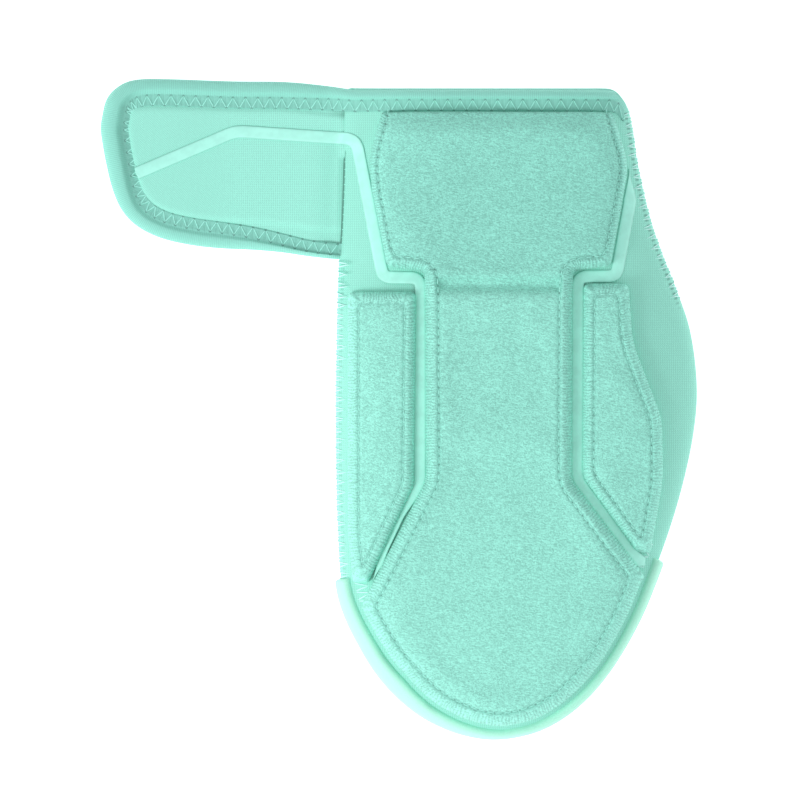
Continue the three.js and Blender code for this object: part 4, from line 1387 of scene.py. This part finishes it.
@dataclass
class Stitching:
    """The sewn threads: lock stitches in the pads' grooves and overlock loops round the seams."""

    pocket: Pocket
    pads: Pads
    shell: Shell
    pitch: float = STITCH_PITCH
    stitch: float = 2.3 * MM
    arch: float = 0.3 * MM
    dive: float = 0.12 * MM
    loop_pitch: float = LOOP_PITCH
    thread: float = 0.17 * MM
    loop_thread: float = 0.22 * MM

    def arched(self, line: Array, height: Array, pitch: float, stitch: float) -> Array:
        """Paths of stitches along a plan line: each dives into the cloth at both its ends.

        Args:
            line: plan points.
            height: of the cloth at each of them.
            pitch: from one stitch to the next.
            stitch: length of each.

        Returns:
            Threads by points by three.
        """
        at = reached(line)
        count = max(int(at[-1] / pitch), 1)
        starts = (np.arange(count) + 0.5) * at[-1] / count
        t = np.linspace(-0.5, 0.5, 7)
        run = starts[:, None] + t * stitch
        x, y, z = (np.interp(run, at, v) for v in (line[:, 0], line[:, 1], height))
        arch = self.arch * (1 - (2 * t) ** 4) - self.dive
        return np.stack([x, y, z + arch], axis=-1)

    def build_lock(self) -> Piece:
        """Makes the stitches sunk in the pads' grooves."""
        paths = []
        for name, line in self.pads.grooves.items():
            shown = line[line[:, 1] < -7 * MM]
            paths.append(self.arched(shown, self.pads.groove_height(name, shown), self.pitch, self.stitch))
        rows = np.vstack(paths)
        up = np.tile([0.0, 0.0, 1.0], (len(rows), 1))
        return make_threads("lock_stitches", rows, up, self.thread)

    def build_overlock(self) -> Piece:
        """Makes the loops that wrap the side seams, over the seam and a little way along it."""
        pocket = self.pocket
        y = pocket.outline[:, 1]
        at = np.linspace(0, 1, len(y))
        total = reached(pocket.outline)[-1]
        left, right = -BUMPER_LEFT * LENGTH, -BUMPER_RIGHT * LENGTH
        rows = [
            LoopRow(True, -72 * MM, left - 1 * MM, -0.2, 0.4),
            LoopRow(False, -8 * MM, -88 * MM, -0.2, 0.4),
            LoopRow(True, left + 1 * MM, left - 16 * MM, 0.5, 0.72),
            LoopRow(False, right + 6 * MM, right - 8 * MM, 0.46, 0.62),
        ]
        runs, starts, ends = [], [], []
        for row in rows:
            side = at < 0.5 if row.is_left else at > 0.5
            shares = at[side & (y < row.top) & (y > row.bottom)]
            runs.append(np.arange(shares.min(), shares.max(), self.loop_pitch / total))
            starts.append(np.full(len(runs[-1]), row.start))
            ends.append(np.full(len(runs[-1]), row.end))
        run, start, end = (np.concatenate(values)[:, None] for values in (runs, starts, ends))
        t = np.linspace(0, 1, 9)[None]
        uneven = np.random.default_rng(7).uniform(-1, 1, (3, len(run), 1))
        turn = mix(start, end + 0.06 * uneven[0], t)
        lift = (0.04 + 0.1 * np.sin(np.pi * t) + 0.22 * t + 0.05 * uneven[1]) * MM
        lean = np.where(np.arange(len(run)) % 2 == 0, 1, -1)[:, None] * (0.8 + 0.3 * uneven[2])
        slant = lean * self.loop_pitch / total * (t - 0.5)
        paths = pocket.around(run + slant, turn, lift)
        outward = np.column_stack([-np.interp(run[:, 0], at, pocket.inward[:, k]) for k in (0, 1)])
        up = np.column_stack([outward, np.zeros(len(run))])
        return make_threads("overlock_stitches", paths, up, self.loop_thread)

    def build_root(self) -> Piece:
        """Makes the stitches across the folded seam at the strap's root."""
        y = np.arange(-30 * MM, -66 * MM, -3.2 * MM)
        t = np.linspace(-0.5, 0.5, 7)
        x = self.pocket.seam_x(y, -1)[:, None] + 0.4 * MM + t * 1.7 * MM
        y = y[:, None] + 0.3 * MM * t
        z = self.shell.skin(x, y) + 0.35 * MM * (1 - (2 * t) ** 4)
        up = np.tile([0.0, 0.0, 1.0], (len(x), 1))
        return make_threads("root_stitches", np.stack([x, y, z], axis=-1), up, self.thread)


@dataclass
class HookPatch:
    """The fastener under the strap's end: a plate with rounded corners and rows of small hooks."""

    pocket: Pocket
    length: float = 36 * MM
    width: float = 32 * MM
    thickness: float = 0.55 * MM
    out: float = 0.64
    down: float = 0.4
    pitch: float = 2.2 * MM
    hook: float = 0.12 * MM

    def build(self) -> list[Piece]:
        """Makes the plate and its hooks, which point down."""
        pocket = self.pocket
        x0 = pocket.outline[0, 0] - pocket.gap - self.out * pocket.strap_length
        y0 = -self.down * pocket.strap_width
        z0 = pocket.strap_rest - pocket.gap
        v = np.linspace(-1, 1, 25)
        round_start = 0.86
        turned = np.clip((np.abs(v) - round_start) / (1 - round_start), 0, 1)
        half = 1 - 0.12 * (1 - np.sqrt(1 - turned**2))
        x = x0 + self.length / 2 * half[:, None] * np.linspace(-1, 1, 21)[None]
        y = y0 + self.width / 2 * v[:, None] + 0 * x
        upper = np.dstack([x, y, np.full_like(x, z0)])
        plate = make_solid("hook_tape", upper, upper - [0, 0, self.thickness])
        hx, hy = (
            np.arange(-size / 2 + 2 * MM, size / 2 - 1.5 * MM, self.pitch)
            for size in (self.length, self.width)
        )
        foot = np.stack([g.ravel() for g in np.meshgrid(x0 + hx, y0 + hy)], axis=1)
        t = np.linspace(0, 1, 6)
        bend = 0.35 * MM * t**3
        z = z0 - self.thickness + 0.05 * MM - 0.5 * MM * t + 0 * foot[:, :1]
        paths = np.stack([foot[:, :1] + bend, foot[:, 1:] + 0 * t, z], axis=-1)
        hooks = make_threads("hooks", paths, np.tile([1.0, 0.0, 0.0], (len(foot), 1)), self.hook)
        return [plate, hooks]


class Graph:
    """Nodes of a material or a group, each added and linked in one call."""

    def __init__(self, tree: Tree) -> None:
        """Keeps the tree that the nodes go to."""
        self.tree = tree

    def link(self, output: Socket, taken: Socket) -> None:
        """Links an output to an input."""
        self.tree.links.new(output, taken)

    def add(self, kind: str, inputs: dict[str | int, object], **settings: object) -> bpy.types.Node:
        """Adds a node.

        Args:
            kind: its type without the leading ShaderNode.
            inputs: a value or another node's output for each input by name or number.
            settings: the node's own properties.

        Returns:
            The node.
        """
        node = self.tree.nodes.new("ShaderNode" + kind)
        for name, value in settings.items():
            setattr(node, name, value)
        for name, value in inputs.items():
            if isinstance(value, Socket):
                self.link(value, node.inputs[name])
            else:
                node.inputs[name].default_value = value
        return node

    def math(self, operation: str, a: object, b: object = 0.0) -> Socket:
        """The result of an operation on one or two numbers."""
        return self.add("Math", {0: a, 1: b}, operation=operation).outputs[0]

    def plus(self, total: object, *values: object) -> Socket:
        """A sum, added up from left to right."""
        for value in values:
            total = self.math("ADD", total, value)
        return total

    def times(self, product: object, *values: object) -> Socket:
        """A product, multiplied from left to right."""
        for value in values:
            product = self.math("MULTIPLY", product, value)
        return product

    def minus(self, a: object, b: object) -> Socket:
        """A difference."""
        return self.math("SUBTRACT", a, b)

    def wave(self, turns: object) -> Socket:
        """A sine that goes up and down once in each turn."""
        return self.math("SINE", self.times(turns, math.tau))

    def rising(self, value: object, low: float, high: float, a: float = 0.0, b: float = 1.0) -> Socket:
        """A value taken smoothly from low..high to a..b."""
        inputs = {"Value": value, 1: low, 2: high, 3: a, 4: b}
        return self.add("MapRange", inputs, interpolation_type="SMOOTHSTEP").outputs[0]

    def fading(self, value: object, low: float, high: float) -> Socket:
        """A share that falls smoothly from 1 at low to 0 at high."""
        return self.rising(value, low, high, 1.0, 0.0)

    def noise(self, vector: object, scale: float, detail: float = 2.0, curl: float = 0.0) -> Socket:
        """A noise from 0 to 1 with so many waves in a unit of the vector, bent by a curl."""
        inputs = {"Vector": vector, "Scale": scale, "Detail": detail, "Distortion": curl}
        return self.add("TexNoise", inputs).outputs[0]

    def stretched(self, vector: object, scale: tuple[float, float, float], turn: float = 0.0) -> Socket:
        """A vector scaled along each axis after a turn round z in degrees."""
        turned = self.add("VectorRotate", {"Vector": vector, "Angle": math.radians(turn)}).outputs[0]
        return self.add("VectorMath", {0: turned, 1: scale}, operation="MULTIPLY").outputs[0]

    def painted(self, base: object, over: object, share: object) -> Socket:
        """One colour mixed over another by a share."""
        return self.add("Mix", {"Factor": share, 6: base, 7: over}, data_type="RGBA").outputs[2]

    def split(self, vector: object) -> tuple[Socket, Socket, Socket]:
        """A vector's three numbers."""
        return tuple(self.add("SeparateXYZ", {0: vector}).outputs)

    def seam(self) -> Socket:
        """The three numbers by a seam that a piece's points carry."""
        return self.add("Attribute", {}, attribute_name="seam").outputs["Vector"]

    def place(self) -> Socket:
        """The position in the frame."""
        return self.add("TexCoord", {}).outputs["Object"]


def new_group(name: str, inputs: dict[str, tuple[str, object]], outputs: list[str]) -> tuple:
    """Makes an empty node group.

    Args:
        name: the group's name.
        inputs: socket kind, Float or Vector, and start value by name.
        outputs: names of its outputs, which are numbers.

    Returns:
        The group, its graph, its inputs' outputs and its outputs' inputs.
    """
    group = bpy.data.node_groups.new(name, "ShaderNodeTree")
    for label, (kind, value) in inputs.items():
        socket = group.interface.new_socket(label, in_out="INPUT", socket_type="NodeSocket" + kind)
        if kind == "Float":
            socket.default_value = value
    for label in outputs:
        group.interface.new_socket(label, in_out="OUTPUT", socket_type="NodeSocketFloat")
    start, end = group.nodes.new("NodeGroupInput"), group.nodes.new("NodeGroupOutput")
    return group, Graph(group), start.outputs, end.inputs


def make_brushed_loops() -> Tree:
    """Makes the group for brushed loop cloth: short strokes of matted loops in two directions.

    Two noises, stretched along and across, and a finer one add up to the height, and with a broad
    one to a tone about 0.5.
    """
    inputs = {"Vector": ("Vector", None)}
    group, graph, given, result = new_group("brushed_loops", inputs, ["Tone", "Height"])
    vector = given["Vector"]
    along = graph.noise(graph.stretched(vector, (640, 2000, 1000), 8), 1.0, 1.0, 1.2)
    across = graph.noise(graph.stretched(vector, (2000, 950, 1000), -20), 1.0, 1.0, 1.2)
    fine = graph.noise(vector, 2300, 1.0)
    broad = graph.minus(graph.noise(vector, 90), 0.5)
    strokes = graph.plus(graph.times(along, 0.48), graph.times(across, 0.28), graph.times(fine, 0.24))
    graph.link(graph.plus(strokes, graph.times(broad, 0.06)), result["Tone"])
    graph.link(strokes, result["Height"])
    return group


def make_ribbed_knit() -> Tree:
    """Makes the group for ribbed knit: rounded ribs along y, each a row of small slanted loops.

    The ribs are a sine of x, which runs across them, and the loops a sine of y with a slant that
    turns back in the middle of a rib. Their sum is a tone about 0.5 and the height too.
    """
    inputs = {"Vector": ("Vector", None), "Pitch": ("Float", 0.9 * MM)}
    group, graph, given, result = new_group("ribbed_knit", inputs, ["Tone"])
    x, y, _ = graph.split(given["Vector"])
    wobble = graph.times(graph.minus(graph.noise(given["Vector"], 260), 0.5), 0.9)
    across = graph.plus(graph.math("DIVIDE", x, given["Pitch"]), wobble)
    along = graph.times(graph.math("DIVIDE", y, given["Pitch"]), 0.8)
    loop = graph.wave(graph.plus(along, graph.math("PINGPONG", across, 0.5)))
    fuzz = graph.noise(given["Vector"], 3000)
    parts = (graph.times(graph.wave(across), 0.2), graph.times(loop, 0.18), 0.36, graph.times(fuzz, 0.28))
    graph.link(graph.plus(*parts), result["Tone"])
    return group


def make_needle_marks() -> Tree:
    """Makes the group for sewn grooves: puckers across the seam, needle holes and the rolls' ribs.

    It reads the seam attribute: the run, the distance from the pad's edge and the distance from
    the groove. The puckers are a sine of the run that fades away from the groove, the holes are
    round dots in it at the stitches' pitch, and the ribs a finer sine on the rolled border.
    """
    inputs = {"Seam": ("Vector", None), "Pitch": ("Float", STITCH_PITCH), "Reach": ("Float", 4 * MM)}
    names = ["Puckers", "HoleShade", "GrooveShade", "Ribs"]
    group, graph, given, result = new_group("needle_marks", inputs, names)
    seam, pitch = given["Seam"], given["Pitch"]
    run, inward, gap = graph.split(seam)
    off = graph.math("ABSOLUTE", gap)
    wander = graph.times(graph.noise(seam, 160, 1.0), 1.1)
    stitches = graph.math("DIVIDE", run, pitch)
    near = graph.math("MAXIMUM", graph.minus(1.0, graph.math("DIVIDE", off, given["Reach"])), 0.0)
    puckers = graph.times(graph.wave(graph.plus(stitches, wander)), near)
    along = graph.times(graph.minus(graph.math("FRACT", stitches), 0.5), pitch)
    far = graph.math("SQRT", graph.plus(graph.times(along, along), graph.times(off, off)))
    fine = graph.plus(graph.math("DIVIDE", run, 1.25 * MM), graph.times(wander, 2.0))
    ribs = graph.times(graph.wave(fine), graph.fading(inward, 3.4 * MM, 4.8 * MM))
    # Masks of the needle holes and the groove, where the pad cloth gets painted shade.
    holes, groove = graph.fading(far, 0.15 * MM, 0.5 * MM), graph.fading(off, 0.2 * MM, 1.0 * MM)
    for name, value in zip(names, (puckers, holes, groove, ribs)):
        graph.link(value, result[name])
    return group


@dataclass(frozen=True)
class Surface:
    """Numbers that every finish has: its colour, roughness, sheen, shine and bump."""

    colour: tuple[float, float, float]
    roughness: float
    sheen: float = 0.0
    specular: float = 0.3
    coat: float = 0.0
    bump: float = 0.1 * MM

    def toned(self, share: float) -> tuple[float, float, float, float]:
        """The colour times a share, held at 1, as a socket takes it."""
        return (*(min(c * share, 1.0) for c in self.colour), 1.0)


PAD_CLOTH = Surface((0.294, 0.72, 0.61), 0.9, sheen=0.25, specular=0.15, bump=0.4 * MM)
WRIST_COLOUR = (0.27, 0.678, 0.575)
BACK_JERSEY = Surface((0.305, 0.735, 0.615), 0.88, sheen=0.25, specular=0.15, bump=0.12 * MM)
STRAP_JERSEY = Surface((0.325, 0.77, 0.65), 0.88, sheen=0.25, specular=0.15, bump=0.12 * MM)
PALM_JERSEY = Surface((0.29, 0.7, 0.58), 0.9, sheen=0.2, specular=0.15, bump=0.1 * MM)
TAPE_KNIT = Surface((0.3, 0.74, 0.63), 0.88, sheen=0.25, specular=0.15, bump=0.14 * MM)
SATIN_FILM = Surface((0.405, 0.88, 0.76), 0.5, specular=0.25, coat=0.05, bump=0.03 * MM)
MATT_RUBBER = Surface((0.42, 0.86, 0.69), 0.6, bump=0.03 * MM)
HOOK_PLASTIC = Surface((0.24, 0.6, 0.5), 0.5, specular=0.4, bump=0.02 * MM)
BRIGHT_THREAD = Surface((0.42, 0.92, 0.8), 0.6, sheen=0.1, bump=0.02 * MM)
# Lighter than the lock thread: partly the loops' own pale colour, partly painted light, so that the loops
# on the steep, outward-facing seam wall look lit.
OVERLOCK_THREAD_PAINTED_LIGHT = Surface((0.62, 1.0, 0.94), 0.6, sheen=0.1, bump=0.02 * MM)


class Painter:
    """Makes the materials, which share the node groups.

    Each pattern adds its nodes to a graph and returns the surface's inputs that they feed.
    """

    def __init__(self) -> None:
        """Makes the groups."""
        self.loops = make_brushed_loops()
        self.knit = make_ribbed_knit()
        self.needle = make_needle_marks()

    def make(
        self, name: str, surface: Surface, pattern: Callable[..., dict[str, Socket]], **numbers: float
    ) -> bpy.types.Material:
        """Makes a material.

        Args:
            name: its name.
            surface: the finish's constant numbers.
            pattern: one of the methods below. Its Height is in shares of the bump's size.
            numbers: what else the pattern takes.

        Returns:
            The material.
        """
        material = bpy.data.materials.new(name)
        material.use_nodes = True
        material.node_tree.nodes.clear()
        graph = Graph(material.node_tree)
        inputs = {
            "Roughness": surface.roughness,
            "Sheen Weight": surface.sheen,
            "Sheen Roughness": 0.45,
            "Sheen Tint": (*(0.5 + 0.5 * c for c in surface.colour), 1.0),
            "Specular IOR Level": surface.specular,
            "Coat Weight": surface.coat,
            "Coat Roughness": 0.25,
        }
        inputs |= pattern(graph, surface, **numbers)
        bump = {"Height": inputs.pop("Height"), "Distance": surface.bump, "Strength": 1.0}
        inputs["Normal"] = graph.add("Bump", bump).outputs[0]
        shader = graph.add("BsdfPrincipled", inputs)
        graph.add("OutputMaterial", {"Surface": shader.outputs[0]})
        return material

    def shaded(self, graph: Graph, surface: Surface, tone: object, spread: float) -> Socket:
        """A finish's colour, darker and lighter by a spread as the tone leaves 0.5."""
        dark, light = surface.toned(1 - spread), surface.toned(1 + spread)
        return graph.painted(dark, light, graph.rising(tone, 0.36, 0.64))

    def loop_cloth(self, graph: Graph, surface: Surface) -> dict[str, Socket]:
        """The pads' brushed cloth: painted shade in the sewn grooves and needle holes, darker on the wrist
        part.
        """
        place = graph.place()
        loops = graph.add("Group", {"Vector": place}, node_tree=self.loops).outputs
        marks = graph.add("Group", {"Seam": graph.seam()}, node_tree=self.needle).outputs
        stroked = graph.plus(loops["Tone"], graph.times(marks["Ribs"], 0.05))
        colour = self.shaded(graph, surface, stroked, 0.235)
        by_wrist = graph.rising(graph.split(place)[1], 48 * MM, 56 * MM)
        tint = (*(w / c for w, c in zip(WRIST_COLOUR, surface.colour)), 1.0)
        mixed = {"Factor": by_wrist, 6: colour, 7: tint}
        colour = graph.add("Mix", mixed, data_type="RGBA", blend_type="MULTIPLY").outputs[2]
        # Painted shade down the sewn grooves and in the needle holes.
        dark = surface.toned(0.42)
        colour = graph.painted(colour, dark, graph.times(marks["GrooveShade"], 0.2))
        colour = graph.painted(colour, dark, graph.times(marks["HoleShade"], 0.85))
        relief = graph.plus(graph.times(marks["Puckers"], 0.35), graph.times(marks["Ribs"], 0.2))
        return {"Base Color": colour, "Height": graph.plus(loops["Height"], relief)}

    def folded(self, graph: Graph, surface: Surface, colour: object) -> Socket:
        """A colour with painted shade in the fold of the strap's root seam."""
        gap = graph.split(graph.seam())[2]
        return graph.painted(colour, surface.toned(0.4), graph.rising(gap, 0.3 * MM, 1.0 * MM, 0.85, 0.0))

    def loop_shaded(self, graph: Graph, surface: Surface, colour: object) -> Socket:
        """A colour with painted shade in the needle holes between the overlock loops, beside the side
        seams.
        """
        run, gap, _ = graph.split(graph.seam())
        near = graph.times(graph.fading(gap, 2.0 * MM, 3.0 * MM), graph.rising(gap, 0.6 * MM, 1.5 * MM))
        x, y, _ = graph.split(graph.place())
        left = graph.times(graph.fading(x, 0.0, 2 * MM), graph.fading(y, 58 * MM, 64 * MM), 0.5)
        right = graph.times(graph.rising(x, 60 * MM, 70 * MM), graph.rising(y, 40 * MM, 48 * MM))
        sewn = graph.times(near, graph.math("MAXIMUM", left, right))
        phase = graph.wave(graph.math("DIVIDE", run, LOOP_PITCH))
        # Painted shade between the loops, once at each loop along the seam.
        share = graph.times(graph.rising(phase, -0.2, 0.9, 0.1, 0.75), sewn)
        return graph.painted(colour, surface.toned(0.45), share)

    def ribbed(
        self, graph: Graph, surface: Surface, turn: float, pitch: float, spread: float
    ) -> dict[str, Socket]:
        """A ribbed knit, its ribs turned from the y axis by degrees, its tones spread so far."""
        inputs = {"Vector": graph.stretched(graph.place(), (1, 1, 1), turn), "Pitch": pitch}
        tone = graph.add("Group", inputs, node_tree=self.knit).outputs["Tone"]
        colour = self.folded(graph, surface, self.shaded(graph, surface, tone, spread))
        return {"Base Color": self.loop_shaded(graph, surface, colour), "Height": tone}

    def strap(self, graph: Graph, surface: Surface) -> dict[str, Socket]:
        """The strap's knit: fine and slanted at its end, with upright ribs towards the body."""
        place = graph.place()
        slanted = graph.stretched(place, (1, 1, 1), 38)
        tones = [
            graph.add("Group", {"Vector": vector, "Pitch": pitch}, node_tree=self.knit).outputs["Tone"]
            for vector, pitch in ((slanted, 0.62 * MM), (place, 0.8 * MM))
        ]
        by_body = graph.rising(graph.split(place)[0], -82 * MM, -58 * MM)
        tone = graph.plus(tones[0], graph.times(graph.minus(tones[1], tones[0]), by_body))
        tone = graph.plus(graph.times(tone, 0.75), graph.times(graph.noise(place, 1500), 0.3))
        colour = self.folded(graph, surface, self.shaded(graph, surface, tone, 0.11))
        return {"Base Color": colour, "Height": tone}

    def tape(self, graph: Graph, surface: Surface) -> dict[str, Socket]:
        """The folded tape: fine ribs across it, the zigzag band darker, painted shade in needle holes at
        its edges.

        It reads the seam attribute: the run and the share of the way across the zigzag band. Painted
        shade darkens the hollow beside the band at the strap's tip.
        """
        seam = graph.seam()
        run, share, _ = graph.split(seam)
        zigzags = graph.math("DIVIDE", run, ZIGZAG_PITCH)
        rib = graph.wave(graph.math("DIVIDE", run, 0.8 * MM))
        tone = graph.plus(graph.times(rib, 0.12), graph.noise(seam, 1800, 3.0))
        colour = self.shaded(graph, surface, tone, 0.1)
        band = graph.rising(share, -0.12, 0.05)
        colour = graph.painted(colour, surface.toned(0.82), graph.times(band, 0.7))
        # Painted shade in the hollow between the roll and the band, at the strap's tip only.
        at_tip = graph.fading(graph.split(graph.place())[0], -118 * MM, -108 * MM)
        valley_shade = graph.times(graph.rising(share, -0.75, -0.1), graph.fading(share, 0.2, 0.7))
        colour = graph.painted(colour, surface.toned(0.66), graph.times(valley_shade, at_tip, 0.6))
        # Painted shade in the needle holes along both edges of the zigzag band.
        holes = []
        for hole, shift in zip(ZIGZAG_HOLES, (0.0, 0.5)):
            cell = graph.minus(graph.math("FRACT", graph.plus(zigzags, 0.5 + shift)), 0.5)
            along = graph.times(cell, ZIGZAG_PITCH / MM)
            over = graph.times(graph.minus(share, hole), BAND_WIDTH / MM)
            square = graph.plus(graph.times(along, along), graph.times(over, over))
            holes.append(graph.fading(square, 0.12, 0.5))
        colour = graph.painted(colour, surface.toned(0.45), graph.times(graph.math("MAXIMUM", *holes), 0.8))
        puff = graph.times(graph.wave(graph.math("PINGPONG", graph.plus(zigzags, 0.06), 0.5)), band)
        return {"Base Color": colour, "Height": graph.plus(tone, graph.times(puff, 1.6))}

    def film(self, graph: Graph, surface: Surface) -> dict[str, Socket]:
        """The bonded film: satin, faintly mottled, with painted shade in a line close to each edge."""
        mottle = graph.noise(graph.place(), 240, 3.0)
        colour = self.shaded(graph, surface, mottle, 0.035)
        # Painted shade along each edge, where the film is pressed into the cloth.
        line = graph.fading(graph.split(graph.seam())[2], 0.1 * MM, 0.5 * MM)
        edge_shaded = graph.painted(colour, surface.toned(0.55), graph.times(line, 0.45))
        return {"Base Color": edge_shaded, "Height": mottle}

    def rubber(self, graph: Graph, surface: Surface) -> dict[str, Socket]:
        """The moulded rubber: a fine matt grain with a few scuffs along its edge."""
        place = graph.place()
        grain = graph.noise(place, 2400, 3.0)
        scuffs = graph.rising(graph.noise(graph.stretched(place, (60, 60, 200)), 1.0, 4.0), 0.5, 0.75)
        colour = self.shaded(graph, surface, grain, 0.04)
        edge = graph.fading(graph.split(graph.seam())[1], 0.2 * MM, 1.4 * MM)
        painted = graph.painted(colour, surface.toned(0.7), graph.times(edge, scuffs, 0.5))
        rough = graph.rising(scuffs, 0, 1, surface.roughness - 0.06, surface.roughness + 0.12)
        return {"Base Color": painted, "Height": grain, "Roughness": rough}

    def thread(self, graph: Graph, surface: Surface) -> dict[str, Socket]:
        """The sewing thread: twisted filaments, a fine noise stretched along a slant."""
        twist = graph.noise(graph.stretched(graph.place(), (9000, 2500, 4000), 30), 1.0, 2.0)
        return {"Base Color": self.shaded(graph, surface, twist, 0.12), "Height": twist}


@dataclass
class Studio:
    """The white table, the lights and the overhead camera."""

    middle: tuple[float, float] = (0.7 * MM, 3.7 * MM)
    view_width: float = 0.340
    lens: float = 700.0
    sensor: float = 36.0
    focus: float = 12 * MM
    table: float = 4.0
    table_glow: float = 0.75
    world_light: float = 0.68
    key_light: float = 26.5
    fill_light: float = 3.6
    light_size: float = 0.8

    def build(self) -> None:
        """Makes the camera, the world's light, the two soft lights and the floor."""
        scene = bpy.context.scene
        scene.view_settings.view_transform = "Standard"
        data = bpy.data.cameras.new("overhead")
        data.lens, data.sensor_width, data.clip_end = self.lens, self.sensor, 20.0
        camera = bpy.data.objects.new("overhead", data)
        camera.location = (*self.middle, self.view_width * self.lens / self.sensor + self.focus)
        scene.collection.objects.link(camera)
        scene.camera = camera
        world = bpy.data.worlds.new("soft_room")
        world.use_nodes = True
        shade = world.node_tree.nodes["Background"]
        shade.inputs[0].default_value = (1.0, 1.0, 1.0, 1.0)
        shade.inputs[1].default_value = self.world_light
        scene.world = world
        self.build_light("key", self.key_light, (-1.45, -0.85, 1.25))
        self.build_light("fill", self.fill_light, (1.3, -0.5, 0.85))
        self.build_floor()

    def build_light(self, name: str, power: float, place: tuple[float, float, float]) -> None:
        """Makes a square soft light that faces the mitt."""
        light = bpy.data.lights.new(name, "AREA")
        light.energy, light.size = power, self.light_size
        lamp = bpy.data.objects.new(name, light)
        lamp.location = place
        lamp.rotation_euler = (-lamp.location).to_track_quat("-Z", "Y").to_euler()
        bpy.context.scene.collection.objects.link(lamp)

    def build_floor(self) -> None:
        """Makes the white table, which glows a little so that the mitt's shadow stays faint."""
        half = self.table / 2
        corners = np.array([[-half, -half, 0], [half, -half, 0], [half, half, 0], [-half, half, 0]])
        floor = make_piece("table", corners - DATUM, [np.array([[0, 1, 2, 3]])])
        material = bpy.data.materials.new("white_table")
        material.use_nodes = True
        shader = material.node_tree.nodes["Principled BSDF"]
        graph = Graph(material.node_tree)
        grain = graph.noise(graph.place(), 300)
        shade = graph.painted((0.9, 0.9, 0.9, 1.0), (0.93, 0.93, 0.93, 1.0), grain)
        graph.link(shade, shader.inputs["Base Color"])
        shader.inputs["Roughness"].default_value = 0.9
        shader.inputs["Specular IOR Level"].default_value = 0.1
        shader.inputs["Emission Color"].default_value = (1.0, 1.0, 1.0, 1.0)
        shader.inputs["Emission Strength"].default_value = self.table_glow
        floor.data.materials.append(material)


def keep(piece: Piece, material: bpy.types.Material, finish: Finish, *nodes: str) -> None:
    """Gives a piece its material, puts it under the root, hides the nodes it stands for, logs its size."""
    piece.data.materials.append(material)
    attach(piece, "root")
    if nodes:
        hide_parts(*nodes)
    LOG.info("%s: %d faces", piece.name, len(piece.data.polygons))


def main() -> None:
    """Builds the mitt in order."""
    logging.basicConfig(level=logging.INFO, format="%(name)s: %(message)s")
    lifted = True
    pocket = Pocket()
    pads, shell = Pads(pocket), Shell(pocket)
    paint = Painter()
    cloth = paint.make("brushed_loop_cloth", PAD_CLOTH, paint.loop_cloth)
    back_ribs = {"turn": 0, "pitch": 0.8 * MM, "spread": 0.09}
    jersey = paint.make("ribbed_jersey", BACK_JERSEY, paint.ribbed, **back_ribs)
    palm_ribs = {"turn": 90, "pitch": 1 * MM, "spread": 0.1}
    lining = paint.make("palm_jersey", PALM_JERSEY, paint.ribbed, **palm_ribs)
    field_cloth = paint.make("strap_jersey", STRAP_JERSEY, paint.strap)
    tape_knit = paint.make("knit_tape", TAPE_KNIT, paint.tape)
    film = paint.make("satin_film", SATIN_FILM, paint.film)
    rubber = paint.make("matt_rubber", MATT_RUBBER, paint.rubber)
    thread = paint.make("bright_thread", BRIGHT_THREAD, paint.thread)
    loops = paint.make("overlock_thread_painted_light", OVERLOCK_THREAD_PAINTED_LIGHT, paint.thread)
    hook = paint.make("hook_plastic", HOOK_PLASTIC, paint.rubber)
    back, palm, strap = shell.build_back(), shell.build_palm(), shell.build_strap()
    keep(back, jersey, Finish.JERSEY, "back_panel")
    keep(palm, lining, Finish.JERSEY, "palm_panel")
    keep(strap, field_cloth, Finish.JERSEY, "strap")
    keep(pads.build_cover(lifted), cloth, Finish.LOOP_CLOTH, "wrist_pad", "hand_pad")
    little = pads.build_side("little_pad_cloth", LITTLE_PAD_LEFT, LITTLE_PAD_RIGHT, lifted)
    keep(little, cloth, Finish.LOOP_CLOTH, "little_finger_pad")
    thumb = pads.build_side("thumb_pad_cloth", THUMB_PAD_LEFT, THUMB_PAD_RIGHT, lifted)
    keep(thumb, cloth, Finish.LOOP_CLOTH, "thumb_pad")
    tape = EdgeTape(pocket, shell)
    keep(tape.build(), tape_knit, Finish.TAPE, "strap_binding", "wrist_binding")
    keep(tape.build_stitches(), thread, Finish.TAPE)
    films = Films(pocket, pads)
    keep(films.build("strap_film_band", STRAP_FILM, (0.5 * MM, 9 * MM)), film, Finish.FILM, "strap_film")
    keep(films.build("thumb_film_band", THUMB_FILM, (13 * MM, 2 * MM)), film, Finish.FILM, "thumb_film")
    keep(Bumper(pocket, pads).build(), rubber, Finish.RUBBER, "bumper")
    stitching = Stitching(pocket, pads, shell)
    keep(stitching.build_lock(), thread, Finish.LOOP_CLOTH)
    keep(stitching.build_overlock(), loops, Finish.JERSEY)
    keep(stitching.build_root(), thread, Finish.JERSEY)
    plate, hooks = HookPatch(pocket).build()
    keep(plate, hook, Finish.HOOK, "hook_patch")
    keep(hooks, hook, Finish.HOOK)
    Studio().build()


if __name__ == "__main__":
    main()
